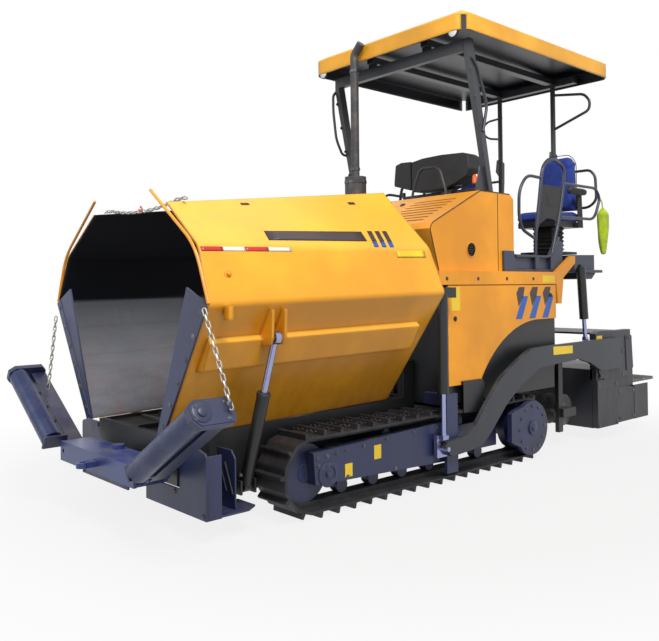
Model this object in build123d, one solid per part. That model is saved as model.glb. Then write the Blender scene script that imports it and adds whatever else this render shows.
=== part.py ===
"""Tracked asphalt paver with its hopper folded, as separate named pieces.

Millimetres. X runs forward to the hopper, Y to the machine's left, Z up from the ground.
All sizes are given from a datum under the rear of the operator's platform. The last step
moves every piece back by MID_X, so that the origin is under the middle of the whole machine.
Left-hand pieces are drawn, and right-hand pieces are their mirror image.
"""
import os
from math import atan2, cos, degrees, hypot, radians, sin, tan

from build123d import *

# ---------------------------------------------------------------- driving sizes
FRONT_X = 4930          # tip of the tow eye
REAR_X = -1200          # rear edge of the screed walkway
MID_X = (FRONT_X + REAR_X) / 2

TRACK_Y = 750           # middle plane of the left track
SHOE_WIDTH = 300
PITCH = 154             # shoe pitch
SHOES_PER_END = 5
SHOES_PER_RUN = 16
IDLER_X = 3695
WHEEL_Z = 288           # height of idler and sprocket centres, and the tip radius of a shoe
PITCH_RADIUS = PITCH / 2 / sin(radians(90 / SHOES_PER_END))
SPROCKET_X = IDLER_X - SHOES_PER_RUN * PITCH
LINE_REACH = PITCH_RADIUS * cos(radians(90 / SHOES_PER_END))    # from wheel centre to the middle of a link
SHOE_TIP = WHEEL_Z - LINE_REACH

FRAME_Y = 545           # outer face of the chassis side plates
FRAME_T = 25
PLATE = 10              # general sheet thickness

HINGE_Y = 530           # hopper wing hinge line
HINGE_FRONT_Z, HINGE_REAR_Z = 607, 652
WING_FRONT_X, WING_REAR_X = 4615, 2523
CREASE_Y = 1050
CREASE_FRONT_Z, CREASE_REAR_Z = 1430, 1480
WING_T = 12

WING_CYLINDER_X = 4100
WING_CYLINDER_FOOT = (680, 255)     # y, z
WING_CYLINDER_EYE = (1010, 1222)

BEAM_FRONT_X = 4811
BEAM_HALF = 540
BEAM_Z0, BEAM_Z1 = 337, 470
PIVOT_X, PIVOT_R = 4640, 40         # swing pin of the push beam
ARM_HINGE = (575, 405)              # y, z of the folding push-roller arm
ARM_FOLD = 31.5                     # degrees above level
ROLLER_X = 4830
ROLLER_R = 72

DOOR_FRONT_X, DOOR_REAR_X = 2284, 731
DOOR_TOP_Z, DOOR_LOW_Z, DOOR_ARCH_Z = 1534, 740, 1227
DOOR_Y0, DOOR_Y1 = 865, 885
DECK_Z0, DECK_Z1 = 1540, 1652
BODY_Y = 860

HOOD_Y = 845
FLOOR_Z = 1680
EXHAUST = (2140, -300)

HOOD_SIDE = [(2344, DECK_Z1), (2448, 1983), (2420, 2031), (1798, 2330), (1385, 2328), (1327, 2284), (1327, DECK_Z1)]

CANOPY_X0, CANOPY_X1 = -261, 2085
CANOPY_Y = 923
CANOPY_Z0, CANOPY_Z1 = 3612, 3790

TOW_X, TOW_Z = 2425, 284            # tow point pin
TOW_ARM_Y0, TOW_ARM_Y1 = 945, 985
LEVEL_X, LEVEL_Y = 2455, 965        # levelling cylinder axis

SCREED_X0, SCREED_X1 = -720, 98
SCREED_Y = 900
SCREED_Z0, SCREED_Z1 = 128, 1085
AUGER_X, AUGER_Z, AUGER_R = 400, 330, 150
LIFT_TOP = (300, 895, 1700)
LIFT_EYE = (235, 895, 1010)


# ---------------------------------------------------------------- small helpers
def box(x0, x1, y0, y1, z0, z1):
    """A block between two corners."""
    return Pos((x0 + x1) / 2, (y0 + y1) / 2, (z0 + z1) / 2) * Box(x1 - x0, y1 - y0, z1 - z0)


def side_plate(points, y0, y1):
    """An outline of (x, z) points, carried across from y0 to y1."""
    wire = Polyline(*[(x, y0, z) for x, z in points], close=True)
    return extrude(make_face(wire), amount=y1 - y0, dir=(0, 1, 0))


def rounded_side_plate(points, radius, y0, y1):
    """A side plate whose corners are arcs."""
    wire = FilletPolyline(*[(x, y0, z) for x, z in points], radius=radius, close=True)
    return extrude(make_face(wire), amount=y1 - y0, dir=(0, 1, 0))


def cross_plate(points, x0, x1):
    """An outline of (y, z) points, carried along from x0 to x1."""
    wire = Polyline(*[(x0, y, z) for y, z in points], close=True)
    return extrude(make_face(wire), amount=x1 - x0, dir=(1, 0, 0))


def rod(start, end, radius):
    """A round bar from one point to another."""
    start, end = Vector(*start), Vector(*end)
    run = end - start
    return Plane(origin=start, z_dir=run) * Cylinder(radius, run.length, align=(Align.CENTER, Align.CENTER, Align.MIN))


def cross_rod(x, z, radius, y0, y1):
    """A round bar across the machine."""
    return rod((x, y0, z), (x, y1, z), radius)


def long_rod(y, z, radius, x0, x1):
    """A round bar along the machine."""
    return rod((x0, y, z), (x1, y, z), radius)


def bent_tube(points, radius, bend):
    """A round tube whose line runs through the points with bends of one radius."""
    path = FilletPolyline(*points, radius=bend)
    return sweep(Plane(origin=path @ 0, z_dir=path % 0) * Circle(radius), path=path)


def right(shape):
    """The mirror image on the machine's right."""
    return mirror(shape, about=Plane.XZ)


def both(shape):
    """A left-hand piece and its mirror image."""
    return Compound(children=[*shape.solids(), *right(shape).solids()])


def together(*shapes):
    """Solids that share a node and do not touch."""
    return Compound(children=[solid for shape in shapes for solid in shape.solids()])


# ---------------------------------------------------------------- tracks
def track_outline():
    """Outline of the shoe band: one plate with a grouser at each pitch, walked round the loop."""
    shoe = [(-74, 14), (-38, 14), (-30, SHOE_TIP), (-12, SHOE_TIP), (-4, 14), (74, 14)]
    frames = []
    for n in range(SHOES_PER_RUN):
        frames.append((SPROCKET_X + (n + 0.5) * PITCH, WHEEL_Z + LINE_REACH, 0))
    for n in range(SHOES_PER_END):
        turn = 18 + 36 * n
        frames.append((IDLER_X + LINE_REACH * sin(radians(turn)), WHEEL_Z + LINE_REACH * cos(radians(turn)), turn))
    for n in range(SHOES_PER_RUN):
        frames.append((IDLER_X - (n + 0.5) * PITCH, WHEEL_Z - LINE_REACH, 180))
    for n in range(SHOES_PER_END):
        turn = 198 + 36 * n
        frames.append((SPROCKET_X + LINE_REACH * sin(radians(turn)), WHEEL_Z + LINE_REACH * cos(radians(turn)), turn))
    points = []
    for x, z, turn in frames:
        c, s = cos(radians(turn)), sin(radians(turn))
        points += [(x + u * c + v * s, z - u * s + v * c) for u, v in shoe]
    return points


def stadium(radius, y0, y1):
    """A loop-shaped slab round idler and sprocket."""
    wheels = [cross_rod(x, WHEEL_Z, radius, y0, y1) for x in (SPROCKET_X, IDLER_X)]
    return wheels[0] + wheels[1] + box(SPROCKET_X, IDLER_X, y0, y1, WHEEL_Z - radius, WHEEL_Z + radius)


def build_track():
    """Shoes across the full width on a narrower link chain, as one loop."""
    half = SHOE_WIDTH / 2
    shoes = side_plate(track_outline(), TRACK_Y - half, TRACK_Y + half)
    shoes -= stadium(LINE_REACH - 2, TRACK_Y - half - 1, TRACK_Y + half + 1)
    links = stadium(LINE_REACH - 1, TRACK_Y - 55, TRACK_Y + 55)
    links -= stadium(LINE_REACH - 40, TRACK_Y - 56, TRACK_Y + 56)
    return shoes + links


def build_track_frame():
    """Frame box with its bolted outer cover, idler, rollers, sprocket and final drive cover."""
    inner_r = LINE_REACH - 40.5
    frame = side_plate([(3560, 400), (3560, 190), (1560, 170), (1560, 400)], 700, 800)
    cover = side_plate([(3689, 429), (3671, 214), (2352, 163), (2300, 163), (2300, 474), (2444, 468)], 800, 880)
    idler = cross_rod(IDLER_X, WHEEL_Z, inner_r, 705, 795) + cross_rod(IDLER_X, WHEEL_Z, 60, 640, 800)
    rollers = [cross_rod(x, 145, 52, 712, 788) for x in (1800, 2110, 2420, 2730, 3040, 3350)]
    carriers = [cross_rod(x, 435, 44, 712, 788) for x in (2050, 2900)]
    sprocket = cross_rod(SPROCKET_X, WHEEL_Z, inner_r, 712, 788)
    drive = cross_rod(1235, 290, 232, 905, 950) + side_plate([(1240, 80), (1500, 180), (1545, 205), (1545, 440), (1500, 462), (1240, 510)], 905, 950)
    hub = cross_rod(1235, 290, 120, 640, 906)
    shape = frame + cover + idler + sprocket + hub + drive
    for piece in rollers + carriers:
        shape += piece
    for x in (1720, 3150):
        shape += box(x, x + 180, FRAME_Y, 705, 230, 380)
    return shape


# ---------------------------------------------------------------- chassis
def build_chassis():
    """Main weldment: side plates, tunnel floor and roof, cross members, nose and hopper sill."""
    side = side_plate(
        [(640, 230), (900, 180), (4250, 180), (4520, 300), (4520, 596), (2440, 640), (2440, 930), (640, 930)],
        FRAME_Y - FRAME_T, FRAME_Y,
    )
    inner = FRAME_Y - FRAME_T
    shape = side + right(side)
    shape += box(660, 4500, -inner, inner, 560, 575)
    shape += box(900, 4250, -inner, inner, 200, 215)
    shape += box(800, 2440, -inner, inner, 915, 930)
    for x in (900, 2430, 4240):
        shape += box(x, x + 20, -inner, inner, 215, 560)
    shape += box(4480, 4520, -inner, inner, 300, 596)
    shape += box(2440, 4500, -12, 12, 575, 610)
    shape += box(2430, 2450, -inner, -inner + 35, 575, 915) + box(2430, 2450, inner - 35, inner, 575, 915)
    nose = box(4520, 4700, -120, 120, 385, 420) - rod((PIVOT_X, 0, 380), (PIVOT_X, 0, 425), PIVOT_R + 0.05)
    return shape + nose


def build_guard_plates():
    """Folded plates that push stones clear of the tracks, with their feet."""
    face = box(4495, 4510, FRAME_Y, 862, 150, 555)
    flange = box(4410, 4510, 850, 862, 150, 555)
    foot = box(4180, 4510, 600, 885, 138, 152)
    stay = box(4250, 4495, 640, 652, 152, 420)
    return both(face + flange + foot + stay)


def build_conveyor():
    """Two bar feeders side by side on the tunnel floor, each a fixed loop."""
    bars = []
    for side in (-1, 1):
        middle = side * 255
        for n in range(24):
            x = 700 + n * 152
            bars.append(box(x, x + 30, middle - 220, middle + 220, 576, 594))
    return Compound(children=bars)


def build_engine():
    """The engine as one plain block on its feet."""
    block = box(1350, 2150, -330, 330, 980, 1500)
    feet = box(1450, 1530, -400, 400, 930, 980) + box(1970, 2050, -400, 400, 930, 980)
    return block + feet


# ---------------------------------------------------------------- body
def build_body():
    """Deck beams, corner posts and the rear wall round the engine bay."""
    shape = box(723, 2395, -890, 890, DECK_Z0, DECK_Z1)
    shape -= box(760, 2340, -815, 815, DECK_Z0 - 1, DECK_Z1 - 12)
    shape -= box(1300, 2300, -700, 700, DECK_Z1 - 20, DECK_Z1 + 1)
    pillar = side_plate([(640, 1360), (700, 1360), (723, 1540), (723, 1652), (450, 1806), (390, 1806), (390, 1740), (600, 1600)], 851, 890)
    return shape + pillar + right(pillar)


def build_bulkheads():
    """Dark front wall between hopper and engine, rear wall, and the inner panels over the tracks."""
    front = box(2295, 2320, -850, 850, 600, DECK_Z0) - box(2290, 2330, -FRAME_Y - 2, FRAME_Y + 2, 595, 932)
    rear = box(700, 720, -850, 850, 940, DECK_Z0)
    upper_edge = [(720, 1254), (990, 1252), (1200, 1236), (1390, 1185), (1545, 1115), (1680, 1020), (1810, 895), (1905, 770)]
    lower_edge = [(2295, 770), (2295, 600), (720, 600)]
    panel = side_plate(upper_edge + lower_edge, 842, 852)
    shelf = box(720, 2320, FRAME_Y + 2, 852, 590, 600)
    return front + rear + both(panel + shelf)


def build_door():
    """Side door with the sweep over the track, and its folded rim."""
    arch = ThreePointArc((1885, DOOR_Y0, DOOR_LOW_Z), (1560, DOOR_Y0, 1066), (DOOR_REAR_X + 230, DOOR_Y0, DOOR_ARCH_Z - 2))
    edges = [
        Line((DOOR_FRONT_X, DOOR_Y0, DOOR_LOW_Z), (1885, DOOR_Y0, DOOR_LOW_Z)),
        arch,
        Line((DOOR_REAR_X + 230, DOOR_Y0, DOOR_ARCH_Z - 2), (DOOR_REAR_X, DOOR_Y0, DOOR_ARCH_Z)),
        Line((DOOR_REAR_X, DOOR_Y0, DOOR_ARCH_Z), (DOOR_REAR_X, DOOR_Y0, DOOR_TOP_Z)),
        Line((DOOR_REAR_X, DOOR_Y0, DOOR_TOP_Z), (DOOR_FRONT_X, DOOR_Y0, DOOR_TOP_Z)),
        Line((DOOR_FRONT_X, DOOR_Y0, DOOR_TOP_Z), (DOOR_FRONT_X, DOOR_Y0, DOOR_LOW_Z)),
    ]
    skin = extrude(make_face(edges), amount=DOOR_Y1 - DOOR_Y0, dir=(0, 1, 0))
    hinges = [rod((DOOR_FRONT_X + 6, DOOR_Y1 - 4, z), (DOOR_FRONT_X + 6, DOOR_Y1 - 4, z + 70), 9) for z in (860, 1130, 1390)]
    for hinge in hinges:
        skin += hinge
    return skin


def build_hood():
    """Engine hood: a hollow cowl with a louvred sloping front."""
    shape = side_plate(HOOD_SIDE, -HOOD_Y, HOOD_Y)
    wall = 14
    inside = [(2330, DECK_Z1 - 1), (2433, 1980), (2409, 2020), (1795, 2315), (1391, 2314), (1341, 2278), (1341, DECK_Z1 - 1)]
    shape -= side_plate(inside, -HOOD_Y + wall, HOOD_Y - wall)
    (low_x, low_z), (high_x, high_z) = HOOD_SIDE[2], HOOD_SIDE[3]
    slope = atan2(high_z - low_z, low_x - high_x)
    for n in range(8):
        along = 0.12 + 0.095 * n
        x, z = low_x - along * (low_x - high_x), low_z + along * (high_z - low_z)
        slot = Pos(x, 460, z) * Rot(0, degrees(slope), 0) * Box(22, 470, 60)
        shape -= slot
        shape -= right(slot)
    return shape


def build_platform():
    """Operator's deck with its side coamings, rear boxes and steps."""
    floor = box(-200, 1327, -850, 850, DECK_Z1, FLOOR_Z)
    coaming = side_plate([(555, FLOOR_Z), (1327, FLOOR_Z), (1327, 1862), (690, 1862), (640, 1700), (555, 1700)], 820, 850)
    wing = box(1327, 1505, HOOD_Y + 1, 870, DECK_Z1, 1840)
    tank = side_plate([(-200, 1652), (240, 1652), (240, 1580), (-140, 1540), (-200, 1560)], 300, 800)
    shape = floor + coaming + right(coaming) + wing + right(wing)
    return shape + tank + right(tank)


def build_seats():
    """Cushion and back of the two seats, as plain padded blocks."""
    cushion = Pos(370, 520, 2205) * Box(470, 480, 110)
    back = Pos(90, 520, 2480) * Rot(0, -8, 0) * Box(110, 470, 640)
    return both(cushion + back)


def build_seat_bases():
    """Bellows boxes, slides and arm rests under the seats."""
    base = box(150, 560, 330, 710, FLOOR_Z, 2150)
    rests = box(130, 480, 770, 815, 2330, 2390) + box(130, 180, 755, 815, 2300, 2390)
    shape = base
    return both(shape)


def build_console():
    """Control console under its hinged cover, on a pedestal."""
    cover = side_plate([(1060, 2450), (1240, 2450), (1300, 2530), (1240, 2790), (1180, 2810), (1060, 2780)], -640, 350)
    stand = box(1110, 1210, -60, 60, FLOOR_Z, 2450)
    bar = cross_rod(1160, 2425, 24, -620, 620)
    return cover + stand + bar


def build_rails():
    """Tube guards at the sides of the operator's deck."""
    y = 868
    tall = bent_tube([(1010, y, FLOOR_Z), (1040, y, 2700), (760, y, 2700), (790, y, FLOOR_Z)], 17, 110)
    front = bent_tube([(1030, y, 2500), (1300, y, 2500), (1280, y, 1905), (1015, y, 1905)], 15, 90)
    rear = bent_tube([(768, y, 2500), (-100, y, 2540), (-210, y, 2400), (-60, y, 2200), (775, y, 2180)], 15, 70)
    return both(tall + front + rear)


# ---------------------------------------------------------------- canopy
def build_canopy():
    """Moulded roof: a hollow shell with a crowned top and a deep skirt."""
    lower = make_face(FilletPolyline(
        (CANOPY_X0, -CANOPY_Y, CANOPY_Z0), (CANOPY_X1, -CANOPY_Y, CANOPY_Z0),
        (CANOPY_X1, CANOPY_Y, CANOPY_Z0), (CANOPY_X0, CANOPY_Y, CANOPY_Z0), radius=90, close=True))
    roof = extrude(lower, amount=CANOPY_Z1 - CANOPY_Z0, dir=(0, 0, 1))
    roof = chamfer(roof.edges().group_by(Axis.Z)[-1], 40, 70)
    inside = box(CANOPY_X0 + 14, CANOPY_X1 - 14, -CANOPY_Y + 14, CANOPY_Y - 14, CANOPY_Z0 - 1, CANOPY_Z1 - 58)
    return roof - inside


def build_posts():
    """Leaning front posts, slim rear posts and the frame under the roof."""
    roof_z = CANOPY_Z1 - 60
    shape = box(1700, 1900, -890, 890, 3560, 3640) - box(1710, 1890, -880, 880, 3550, 3630)
    cross_front = box(1830, 1910, -840, 840, 3560, 3640)
    cross_rear = box(-200, -120, -600, 600, 3640, 3700)
    spine = box(-200, 1910, 295, 375, 3640, 3700)
    front = side_plate([(1665, 2330), (1755, 2330), (1925, 3600), (1840, 3600)], 760, 840)
    rear = rod((-161, 335, FLOOR_Z), (-161, 335, 3660), 26)
    foot = box(-230, -90, 300, 312, 2420, 2740)
    left = front + rear + foot + spine
    return cross_front + cross_rear + left + right(left)


def build_lamps():
    """Round work lamps under the four corners of the roof, and the flashing lamp on the console."""
    lamps = []
    for x in (2027, -190):
        for y in (-800, 800):
            lamps.append(rod((x, y, 3590), (x + (30 if x > 0 else -30), y, 3590), 48))
    return together(*lamps, rod((1250, 420, 2449), (1250, 420, 2560), 38))


def build_exhaust():
    """Exhaust stack with its can on the hood and a curled outlet."""
    x, y = EXHAUST
    can = rod((x, y, 2000), (x, y, 2540), 98) - side_plate(HOOD_SIDE, -HOOD_Y, HOOD_Y)
    pipe = bent_tube([(x, y, 2530), (x, y, 3660), (x, y + 90, 3750)], 38, 70)
    return can + pipe


# ---------------------------------------------------------------- hopper wings
def wing_points(front):
    """Inner line of a wing's section from hinge to beyond its top edge, as (y, z)."""
    if front:
        return [(HINGE_Y, HINGE_FRONT_Z), (CREASE_Y, CREASE_FRONT_Z), (912, 1775), (395, 2145)]
    return [(HINGE_Y, HINGE_REAR_Z), (CREASE_Y - 10, CREASE_REAR_Z), (925, 1815), (375, 2342)]


def wing_face(x, front):
    """The wing's section at one end, as a thin face."""
    points = wing_points(front)
    offsets = [(WING_T * 0.85, -WING_T * 0.5), (WING_T, 0), (WING_T * 0.9, WING_T * 0.5), (WING_T * 0.6, WING_T * 0.8)]
    outer = [(y + dy, z + dz) for (y, z), (dy, dz) in zip(points, offsets)]
    inner_line = FilletPolyline(*[(x, y, z) for y, z in points], radius=[30, 120])
    outer_line = FilletPolyline(*[(x, y, z) for y, z in outer], radius=[42, 132])
    ends = [Line(inner_line @ 0, outer_line @ 0), Line(inner_line @ 1, outer_line @ 1)]
    return make_face([inner_line, outer_line, *ends])


def wing_outline():
    """The wing's edges seen from the side, as (x, z)."""
    return [
        (2638, 560), (WING_REAR_X, CREASE_REAR_Z), (2560, 1815), (2545, 2290),
        (4565, 2070), (4591, 1775), (WING_FRONT_X, CREASE_FRONT_Z), (4600, 560),
    ]


def lower_face_y(x, z, outside=True):
    """Where the lower plate of the wing is at a height, measured across the machine."""
    share = (x - WING_REAR_X) / (WING_FRONT_X - WING_REAR_X)
    hinge_z = HINGE_REAR_Z + share * (HINGE_FRONT_Z - HINGE_REAR_Z)
    crease_z = CREASE_REAR_Z + share * (CREASE_FRONT_Z - CREASE_REAR_Z)
    y = HINGE_Y + (CREASE_Y - HINGE_Y) * (z - hinge_z) / (crease_z - hinge_z)
    return y + (WING_T if outside else 0)


def build_wing():
    """Hopper wing: folded plate, long rib and the two ears for its cylinder."""
    plate = loft([wing_face(WING_FRONT_X + 10, True), wing_face(WING_REAR_X - 10, False)], ruled=True)
    plate &= side_plate(wing_outline(), 300, 1200)

    def rib_section(x, z_top, shear):
        y_top, y_low = lower_face_y(x, z_top), lower_face_y(x, z_top - 210)
        return make_face(Polyline(
            (x, y_top - 6, z_top), (x, y_top + 22, z_top - 36), (x - shear, y_low + 70, z_top - 205), (x - shear, y_low - 6, z_top - 210), close=True))

    rib = loft([rib_section(4540, 1240, 0), rib_section(2700, 1270, 0)], ruled=True)
    shape = plate + rib
    for x in (WING_CYLINDER_X - 60, WING_CYLINDER_X + 40):
        ear = cross_plate([(lower_face_y(x, 1170) - 2, 1170), (1035, 1180), (1052, 1225), (CREASE_Y + 10, 1395), (CREASE_Y - 20, 1400)], x, x + 20)
        shape += ear
    shape += long_rod(WING_CYLINDER_EYE[0], WING_CYLINDER_EYE[1], 14, WING_CYLINDER_X - 62, WING_CYLINDER_X + 62)
    shape += box(4465, 4500, CREASE_Y - 4, CREASE_Y + 45, 1345, 1425)
    hinge = rod((4590, HINGE_Y, HINGE_FRONT_Z + 0.5), (2640, HINGE_Y, HINGE_REAR_Z - 2.5), 9)
    return shape + hinge


def build_wing_strip():
    """Angle iron bolted along the front edge of the wing's lower plate."""
    plate = Polyline((4602, 465, 607), (4602, 515, 607), (4602, 1040, 1440), (4602, 830, 1536), close=True)
    return extrude(make_face(plate), amount=14, dir=(1, 0, 0))


def cylinder_line(foot, eye):
    """Unit direction from a cylinder's foot to its rod eye, in the plane across the machine."""
    length = hypot(eye[0] - foot[0], eye[1] - foot[1])
    return (eye[0] - foot[0]) / length, (eye[1] - foot[1]) / length, length


def build_wing_cylinder():
    """Barrel and rod of the wing's lift cylinder."""
    foot, eye, x = WING_CYLINDER_FOOT, WING_CYLINDER_EYE, WING_CYLINDER_X
    dy, dz, length = cylinder_line(foot, eye)

    def at(distance):
        return (x, foot[0] + dy * distance, foot[1] + dz * distance)

    barrel = rod(at(20), at(length * 0.64), 42) - rod(at(60), at(length * 0.66), 22.1)
    barrel += long_rod(foot[0], foot[1], 38, x - 26, x + 26)
    stem = rod(at(330), at(length - 30), 22)
    stem += long_rod(eye[0], eye[1], 42, x - 20, x + 20)
    stem -= long_rod(eye[0], eye[1], 27, x - 30, x + 30)
    return barrel, stem


def build_cylinder_feet():
    """Brackets on the chassis that hold the feet of the wing cylinders."""
    y, z = WING_CYLINDER_FOOT
    x = WING_CYLINDER_X
    plates = box(x - 62, x - 47, FRAME_Y, y + 40, z - 45, z + 45) + box(x + 47, x + 62, FRAME_Y, y + 40, z - 45, z + 45)
    return both(plates)


# ---------------------------------------------------------------- push beam
def build_push_beam():
    """Swinging cross beam with its tow eye, pivot plates and the ears of the roller arms."""
    y0, z0 = ARM_HINGE
    shape = box(BEAM_FRONT_X - 20, BEAM_FRONT_X, -BEAM_HALF, BEAM_HALF, BEAM_Z0, BEAM_Z1)
    for z in (BEAM_Z0, BEAM_Z1 - 18):
        shape += box(4580, BEAM_FRONT_X - 20, -BEAM_HALF + 12, BEAM_HALF - 12, z, z + 18)
    for y in (-492, 492):
        shape -= long_rod(y, 408, 14, BEAM_FRONT_X - 25, BEAM_FRONT_X + 5)
    for x in (4600, 4742):
        ear = box(x, x + 18, BEAM_HALF - 40, y0, BEAM_Z0 + 18, BEAM_Z1 - 18) + long_rod(y0, z0, 36, x, x + 18)
        ear -= long_rod(y0, z0, 18.05, x - 1, x + 19)
        shape += ear + right(ear)
    eye = box(4811, 4870, -38, 38, 385, 420) + rod((4888, 0, 385), (4888, 0, 420), 42)
    eye -= rod((4888, 0, 380), (4888, 0, 425), 20)
    return shape + eye + rod((PIVOT_X, 0, 300), (PIVOT_X, 0, 500), PIVOT_R)


def folded(shape):
    """A push-roller piece drawn level, turned up to where the arm is stored."""
    y0, z0 = ARM_HINGE
    return Pos(0, y0, z0) * Rot(ARM_FOLD, 0, 0) * Pos(0, -y0, -z0) * shape


def build_roller_arm():
    """Arm that carries a push roller: back beam, inner bracket and the octagonal end plate."""
    y0, z0 = ARM_HINGE
    back = box(4626, 4735, y0, y0 + 880, z0 - 34, z0 + 34) + long_rod(y0, z0, 34, 4625, 4735)
    pin = long_rod(y0, z0, 18, 4595, 4765)
    inner = box(4735, 4900, y0 + 60, y0 + 78, z0 - 34, z0 + 66)
    end = side_plate([(4626, z0 - 40), (4656, z0 - 70), (4860, z0 - 70), (4905, z0 - 20), (4905, z0 + 55), (4860, z0 + 90), (4656, z0 + 90), (4626, z0 + 55)], y0 + 852, y0 + 890)
    return folded(back + pin + inner + end)


def build_push_roller():
    """Push roller on its shaft between the arm's plates."""
    y0, z0 = ARM_HINGE
    return folded(cross_rod(ROLLER_X, z0 + 16, ROLLER_R, y0 + 83, y0 + 847))


# ---------------------------------------------------------------- levelling and screed
def build_levelling():
    """Guide bars of the tow points and the barrels of the levelling cylinders."""
    guide = box(2245, 2378, 905, 935, 80, 690) + box(2320, 2378, 700, 905, 600, 690)
    barrel = rod((LEVEL_X, LEVEL_Y, 710), (LEVEL_X, LEVEL_Y, 1470), 44) - rod((LEVEL_X, LEVEL_Y, 700), (LEVEL_X, LEVEL_Y, 1440), 20.1)
    bracket = box(2320, LEVEL_X + 40, 850, LEVEL_Y + 30, 1440, 1520)
    return both(guide), both(barrel + bracket)


def build_tow_slides():
    """Sliding blocks at the tow points with the rods of the levelling cylinders."""
    stem = rod((LEVEL_X, LEVEL_Y, 380), (LEVEL_X, LEVEL_Y, 1040), 20)
    block = box(2385, 2500, 905, 939, 220, 390)
    ear = box(2425, 2490, 939, 990, 362, 392)
    pin = cross_rod(TOW_X, TOW_Z, 18, 930, 992)
    return both(stem + block + ear + pin)


TOW_ARM = [
    (2459, 306), (2388, 228), (2365, 223), (2141, 236), (1986, 260), (1878, 342), (1667, 538), (1447, 683), (1140, 813), (504, 839),
    (300, 790), (98, 700), (-300, 700), (-300, 1000), (208, 1000), (1056, 992), (1290, 980), (1516, 884), (1732, 767), (1953, 553), (2074, 424), (2189, 360), (2326, 345), (2430, 340),
]


def build_tow_arms():
    """Cranked arms that pull the screed, with the lugs of the lift cylinders."""
    arm = side_plate(TOW_ARM, TOW_ARM_Y0, TOW_ARM_Y1) - cross_rod(TOW_X, TOW_Z, 18.05, TOW_ARM_Y0 - 1, TOW_ARM_Y1 + 1)
    return both(arm)


def build_screed():
    """Screed frame, mould board, end plates and the bottom plate."""
    shape = box(SCREED_X0, SCREED_X1, -SCREED_Y, SCREED_Y, SCREED_Z0, 700)
    shape -= box(SCREED_X0 + 30, SCREED_X1 - 30, -SCREED_Y + 30, SCREED_Y - 30, SCREED_Z0 + 30, 701)
    side = box(-600, SCREED_X1, 860, 945, 600, SCREED_Z1)
    shape += side + right(side)
    shape += box(-560, 60, -860, 860, 1040, 1060)
    return shape


def build_walkway():
    """Folding step plate behind the screed."""
    return box(REAR_X, SCREED_X0 - 20, -880, 880, 500, 530) + box(SCREED_X0 - 20, SCREED_X0, -880, 880, 440, 530)


def build_extension():
    """Sliding screed extension with its end plate."""
    return box(-1000, SCREED_X0 - 30, 60, 900, 130, 420) + box(-1000, -SCREED_X1 - 600, 900, 915, 130, 480)


def build_lift_cylinder():
    """Barrel and rod of the screed lift cylinder."""
    top, eye = LIFT_TOP, LIFT_EYE
    run = Vector(*eye) - Vector(*top)

    def at(share):
        point = Vector(*top) + run * share
        return (point.X, point.Y, point.Z)

    barrel = rod(at(0), at(0.72), 42) - rod(at(0.1), at(0.74), 20.1)
    barrel += cross_rod(top[0], top[2], 30, top[1] - 20, top[1] + 20)
    stem = rod(at(0.34), at(1), 20) + cross_rod(eye[0], eye[2], 26, eye[1] - 20, eye[1] + 20)
    return barrel, stem


def build_auger():
    """Half of the spreading auger: shaft and flights."""
    shaft = cross_rod(AUGER_X, AUGER_Z, 35, 60, 840)
    shape = shaft
    for n in range(5):
        shape += cross_rod(AUGER_X, AUGER_Z, AUGER_R, 140 + 150 * n, 150 + 150 * n)
    return shape


def build_auger_frame():
    """Columns, top beam, centre drive and end bearings of the auger."""
    column = box(545, 615, 790, 830, 150, 960)
    beam = box(545, 615, -830, 830, 930, 960)
    drive = box(340, 600, -45, 45, 250, 960)
    end = box(380, 600, 850, 870, 290, 370) + box(560, 600, 830, 870, 290, 370)
    return column + right(column) + beam + drive + end + right(end)


# ---------------------------------------------------------------- write
def build_all():
    """Every node by name."""
    track = build_track()
    frame = build_track_frame()
    door = build_door()
    wing, strip = build_wing(), build_wing_strip()
    wing_barrel, wing_rod = build_wing_cylinder()
    arm, roller = build_roller_arm(), build_push_roller()
    guides, level_barrels = build_levelling()
    lift_barrel, lift_rod = build_lift_cylinder()
    extension, auger = build_extension(), build_auger()
    nodes = {
        "chassis": build_chassis(),
        "guard_plates": build_guard_plates(),
        "conveyor": build_conveyor(),
        "engine_block": build_engine(),
        "body": build_body(),
        "bulkheads": build_bulkheads(),
        "hood": build_hood(),
        "platform": build_platform(),
        "seats": build_seats(),
        "seat_bases": build_seat_bases(),
        "console": build_console(),
        "rails": build_rails(),
        "canopy": build_canopy(),
        "canopy_frame": build_posts(),
        "lamps": build_lamps(),
        "exhaust": build_exhaust(),
        "cylinder_feet": build_cylinder_feet(),
        "push_beam": build_push_beam(),
        "tow_guides": guides,
        "levelling_barrels": level_barrels,
        "tow_slides": build_tow_slides(),
        "tow_arms": build_tow_arms(),
        "screed": build_screed(),
        "walkway": build_walkway(),
        "auger_frame": build_auger_frame(),
    }
    pairs = {
        "track": track, "track_frame": frame, "door": door, "wing": wing, "wing_strip": strip,
        "wing_barrel": wing_barrel, "wing_rod": wing_rod, "roller_arm": arm, "push_roller": roller,
        "lift_barrel": lift_barrel, "lift_rod": lift_rod, "extension": extension, "auger": auger,
    }
    for name, shape in pairs.items():
        nodes[name + "_left"] = shape
        nodes[name + "_right"] = right(shape)
    return nodes


if __name__ == "__main__":
    os.makedirs("parts", exist_ok=True)
    for name, shape in build_all().items():
        export_step(Pos(-MID_X, 0, 0) * shape, os.path.join("parts", name + ".step"))
        print(name, round(shape.volume / 1e9, 4))
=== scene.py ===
"""Looks of a tracked asphalt paver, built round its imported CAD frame.

Every length is in metres. Outlines are given in millimetres along the machine, as on its drawings,
whose zero is 1.865 m behind the middle of the row's frame; Form.piece moves them into that frame.
"""

import logging
import math
from dataclasses import dataclass, field
from enum import Enum

import bpy
import numpy as np
from mathutils import Matrix


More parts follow.
